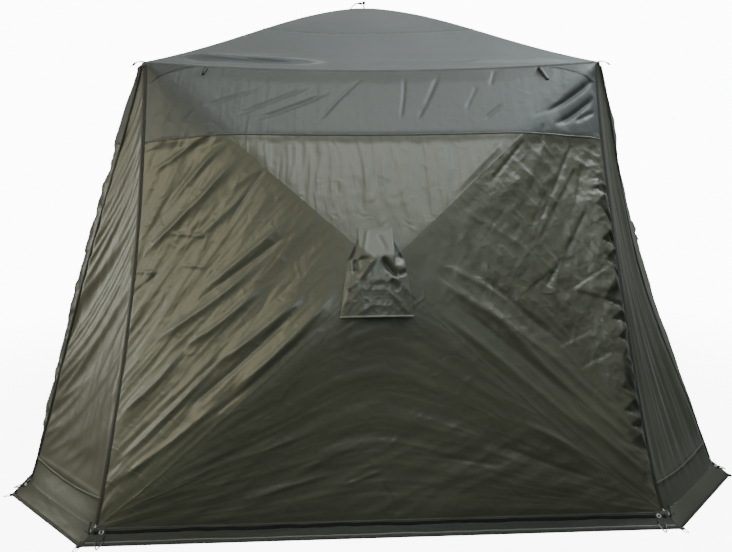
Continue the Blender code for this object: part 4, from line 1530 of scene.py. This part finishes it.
def cloth_material(name, dark, light, roughness, streaks, crinkles, depth, gloss):
    """Coated cloth: a tone that drifts a little, a soft gloss, fine crisp creases, and shade painted into its
    tone where its shade attribute is set.
    """
    mat, tree, shader = new_material(name)
    crumple = add_node(tree, "ShaderNodeAttribute", attribute_name="crumple").outputs["Fac"]
    shade = add_node(tree, "ShaderNodeAttribute", attribute_name="shade").outputs["Fac"]
    wear = {"Streaks": streaks, "Crinkles": crinkles, "Facets": crumple}
    close_up = add_node(tree, "ShaderNodeGroup", wear, node_tree=CLOTH_CLOSE_UP)
    mottle = close_up.outputs["Mottle"]
    # Painted shade: the tone is darkened in step with the shade attribute.
    shaded = maths(tree, "SUBTRACT", 1.0, maths(tree, "MULTIPLY", shade, 0.55))
    tone = {0: ramp(tree, mottle, (0.3, dark), (0.7, light)), "Scale": shaded}
    drift = {"Value": mottle, "To Min": roughness - 0.05, "To Max": roughness + 0.05}
    lift = {"Height": close_up.outputs["Height"], "Strength": 0.8, "Distance": depth}
    set_inputs(tree, shader, {
        "Base Color": add_node(tree, "ShaderNodeVectorMath", tone, operation="SCALE").outputs["Vector"],
        "Roughness": add_node(tree, "ShaderNodeMapRange", drift).outputs["Result"],
        "Normal": add_node(tree, "ShaderNodeBump", lift).outputs["Normal"],
        "Specular IOR Level": gloss,
        "Sheen Weight": gloss * 0.2,
        "Sheen Roughness": 0.4,
    })
    return mat


def plain_material(name, colour, roughness, metallic, grain, bump):
    """A hard finish, webbing or thread: a fine grain in its tone and on its surface."""
    mat, tree, shader = new_material(name)
    place = add_node(tree, "ShaderNodeTexCoord").outputs["Object"]
    noise = noise_node(tree, place, grain, 3)
    lift = {"Height": noise, "Strength": 0.5, "Distance": bump}
    set_inputs(tree, shader, {
        "Base Color": ramp(tree, noise, (0, [c * 0.8 for c in colour]), (1, [c * 1.2 for c in colour])),
        "Normal": add_node(tree, "ShaderNodeBump", lift).outputs["Normal"],
        "Roughness": roughness,
        "Metallic": metallic,
    })
    return mat


# Each cloth's dark and light tones, then its roughness, streaks, crinkles, their depth, and its gloss.
CLOTH_FINISHES = {
    "wall_cloth": ((0.085, 0.083, 0.055), (0.105, 0.103, 0.072), 0.42, 0.8, 0.6, 0.005, 0.6),
    "hem_tape": ((0.050, 0.052, 0.042), (0.066, 0.068, 0.056), 0.5, 0.2, 0.5, 0.0010, 0.4),
    "gusset_cloth": ((0.071, 0.070, 0.049), (0.087, 0.086, 0.062), 0.40, 0.05, 0.16, 0.005, 0.6),
    "hood_cloth": ((0.085, 0.085, 0.060), (0.105, 0.105, 0.078), 0.45, 0.0, 0.3, 0.0010, 0.6),
    "tan_tape": ((0.11, 0.10, 0.07), (0.14, 0.13, 0.09), 0.6, 0.0, 0.3, 0.0004, 0.6),
    # The band's tone: greyer than the wall's, partly its cloth's own colour and partly a painted reflection
    # of the sky.
    "band_cloth": ((0.076, 0.078, 0.070), (0.092, 0.094, 0.087), 0.45, 0.5, 0.5, 0.005, 0.4),
    # The roof's tone: lighter and greyer than the wall's, partly its cloth's own colour and partly a painted
    # reflection of the sky.
    "roof_cloth": ((0.115, 0.120, 0.115), (0.140, 0.145, 0.140), 0.42, 0.2, 0.4, 0.0016, 0.6),
    "skirt_cloth": ((0.034, 0.036, 0.029), (0.046, 0.048, 0.039), 0.5, 0.8, 0.6, 0.005, 0.3),
    # Near-black, painted as the shadow under the hem tape.
    "painted_hem_shadow": ((0.010, 0.010, 0.008), (0.015, 0.015, 0.012), 0.6, 0.8, 0.6, 0.005, 0.1),
    "seam_tape": ((0.030, 0.029, 0.021), (0.044, 0.042, 0.032), 0.5, 0.2, 0.5, 0.0006, 0.4),
    # Pale: the hood's binding, and on the skirts a painted highlight near the ground.
    "pale_binding_and_highlight": ((0.13, 0.13, 0.10), (0.16, 0.16, 0.13), 0.5, 0.2, 0.5, 0.0006, 0.6),
    # Dark, painted as the shade under the roof's edge at the walls' upper corners.
    "corner_shade_cloth": ((0.040, 0.041, 0.034), (0.052, 0.053, 0.045), 0.5, 0.3, 0.5, 0.001, 0.6),
}
# Each other finish's colour, then its roughness, metallic share, grain and depth.
PLAIN_FINISHES = {
    "glass_fibre": ((0.02, 0.02, 0.02), 0.35, 0.0, 400, 0.0004),
    "webbing": ((0.035, 0.037, 0.03), 0.75, 0.0, 900, 0.0004),
    "moulded_plastic": ((0.02, 0.02, 0.02), 0.4, 0.0, 400, 0.0004),
    "wire_steel": ((0.16, 0.16, 0.155), 0.34, 1.0, 300, 0.0001),
    "eyelet_steel": ((0.42, 0.42, 0.41), 0.30, 1.0, 300, 0.0001),
    "thread": ((0.05, 0.05, 0.04), 0.6, 0.0, 2000, 0.0004),
    "white_moulding": ((0.62, 0.62, 0.58), 0.45, 0.0, 400, 0.0004),
}
CLOTH_CLOSE_UP = cloth_group()
FINISHES = {name: cloth_material(name, *values) for name, values in CLOTH_FINISHES.items()}
FINISHES.update({name: plain_material(name, *values) for name, values in PLAIN_FINISHES.items()})


def dress_nodes():
    """Gives the solids that show, the poles and the roof's knob, their finish."""
    solids = {f"{part}_frame": "glass_fibre" for part in (*SIDES, "roof")}
    solids["roof_knob"] = "moulded_plastic"
    for name, finish in solids.items():
        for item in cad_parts[name].material_slots:
            item.material = FINISHES[finish]


WALL_SKIRT_SEED = 800
GUSSET_SKIRT_SEED = 820
TOGGLE_SHARE = 0.735
RING_LEAN = 0.35

make_camera()
make_floor()
make_world()
make_lamps()
make_roof_cloth()
hem, ground = skirt_ends()
left_hem, left_ground = hem * (-1, 1, 1), ground * (-1, 1, 1)
next_hem, next_ground = turn_points(np.array([left_hem, left_ground]), 1)
for turn, (side, corner) in enumerate(zip(SIDES, CORNERS)):
    moved = make_wall_cloth(side, turn)
    make_side_seams(side, turn)
    make_eave_binding(side, turn)
    make_band_seam(side, turn, moved)
    make_hood(side, turn)
    make_gusset_cloth(corner, turn)
    make_gusset_fold(corner, turn)
    make_cap_seam(side, turn)
    make_corner_shade_sheets(side, turn, moved)
    make_skirt_cloth(f"{side}_skirt", turn, (left_hem, hem), (left_ground, ground), WALL_SKIRT_SEED + turn)
    skirt = f"{corner}_gusset_skirt"
    make_skirt_cloth(skirt, turn, (hem, next_hem), (ground, next_ground), GUSSET_SKIRT_SEED + turn)
    make_hem_tape(side, turn)
    make_ground_binding(f"{side}_hem", left_ground, ground, turn)
    make_ground_binding(f"{corner}_gusset_hem", ground, next_ground, turn)
    for hand, word in HANDS:
        make_foot_tab(side, word, hand, turn)
        make_pole_tip(side, word, hand, turn)
        make_corner_ring(f"{side}_skirt_{word}", ground * (hand, 1, 1), (hand * RING_LEAN, -1.0), turn)
        make_toggle(side, word, hand * TOGGLE_SHARE, turn, hand > 0)
    make_corner_tail(corner, turn)
make_roof_strap()
dress_nodes()
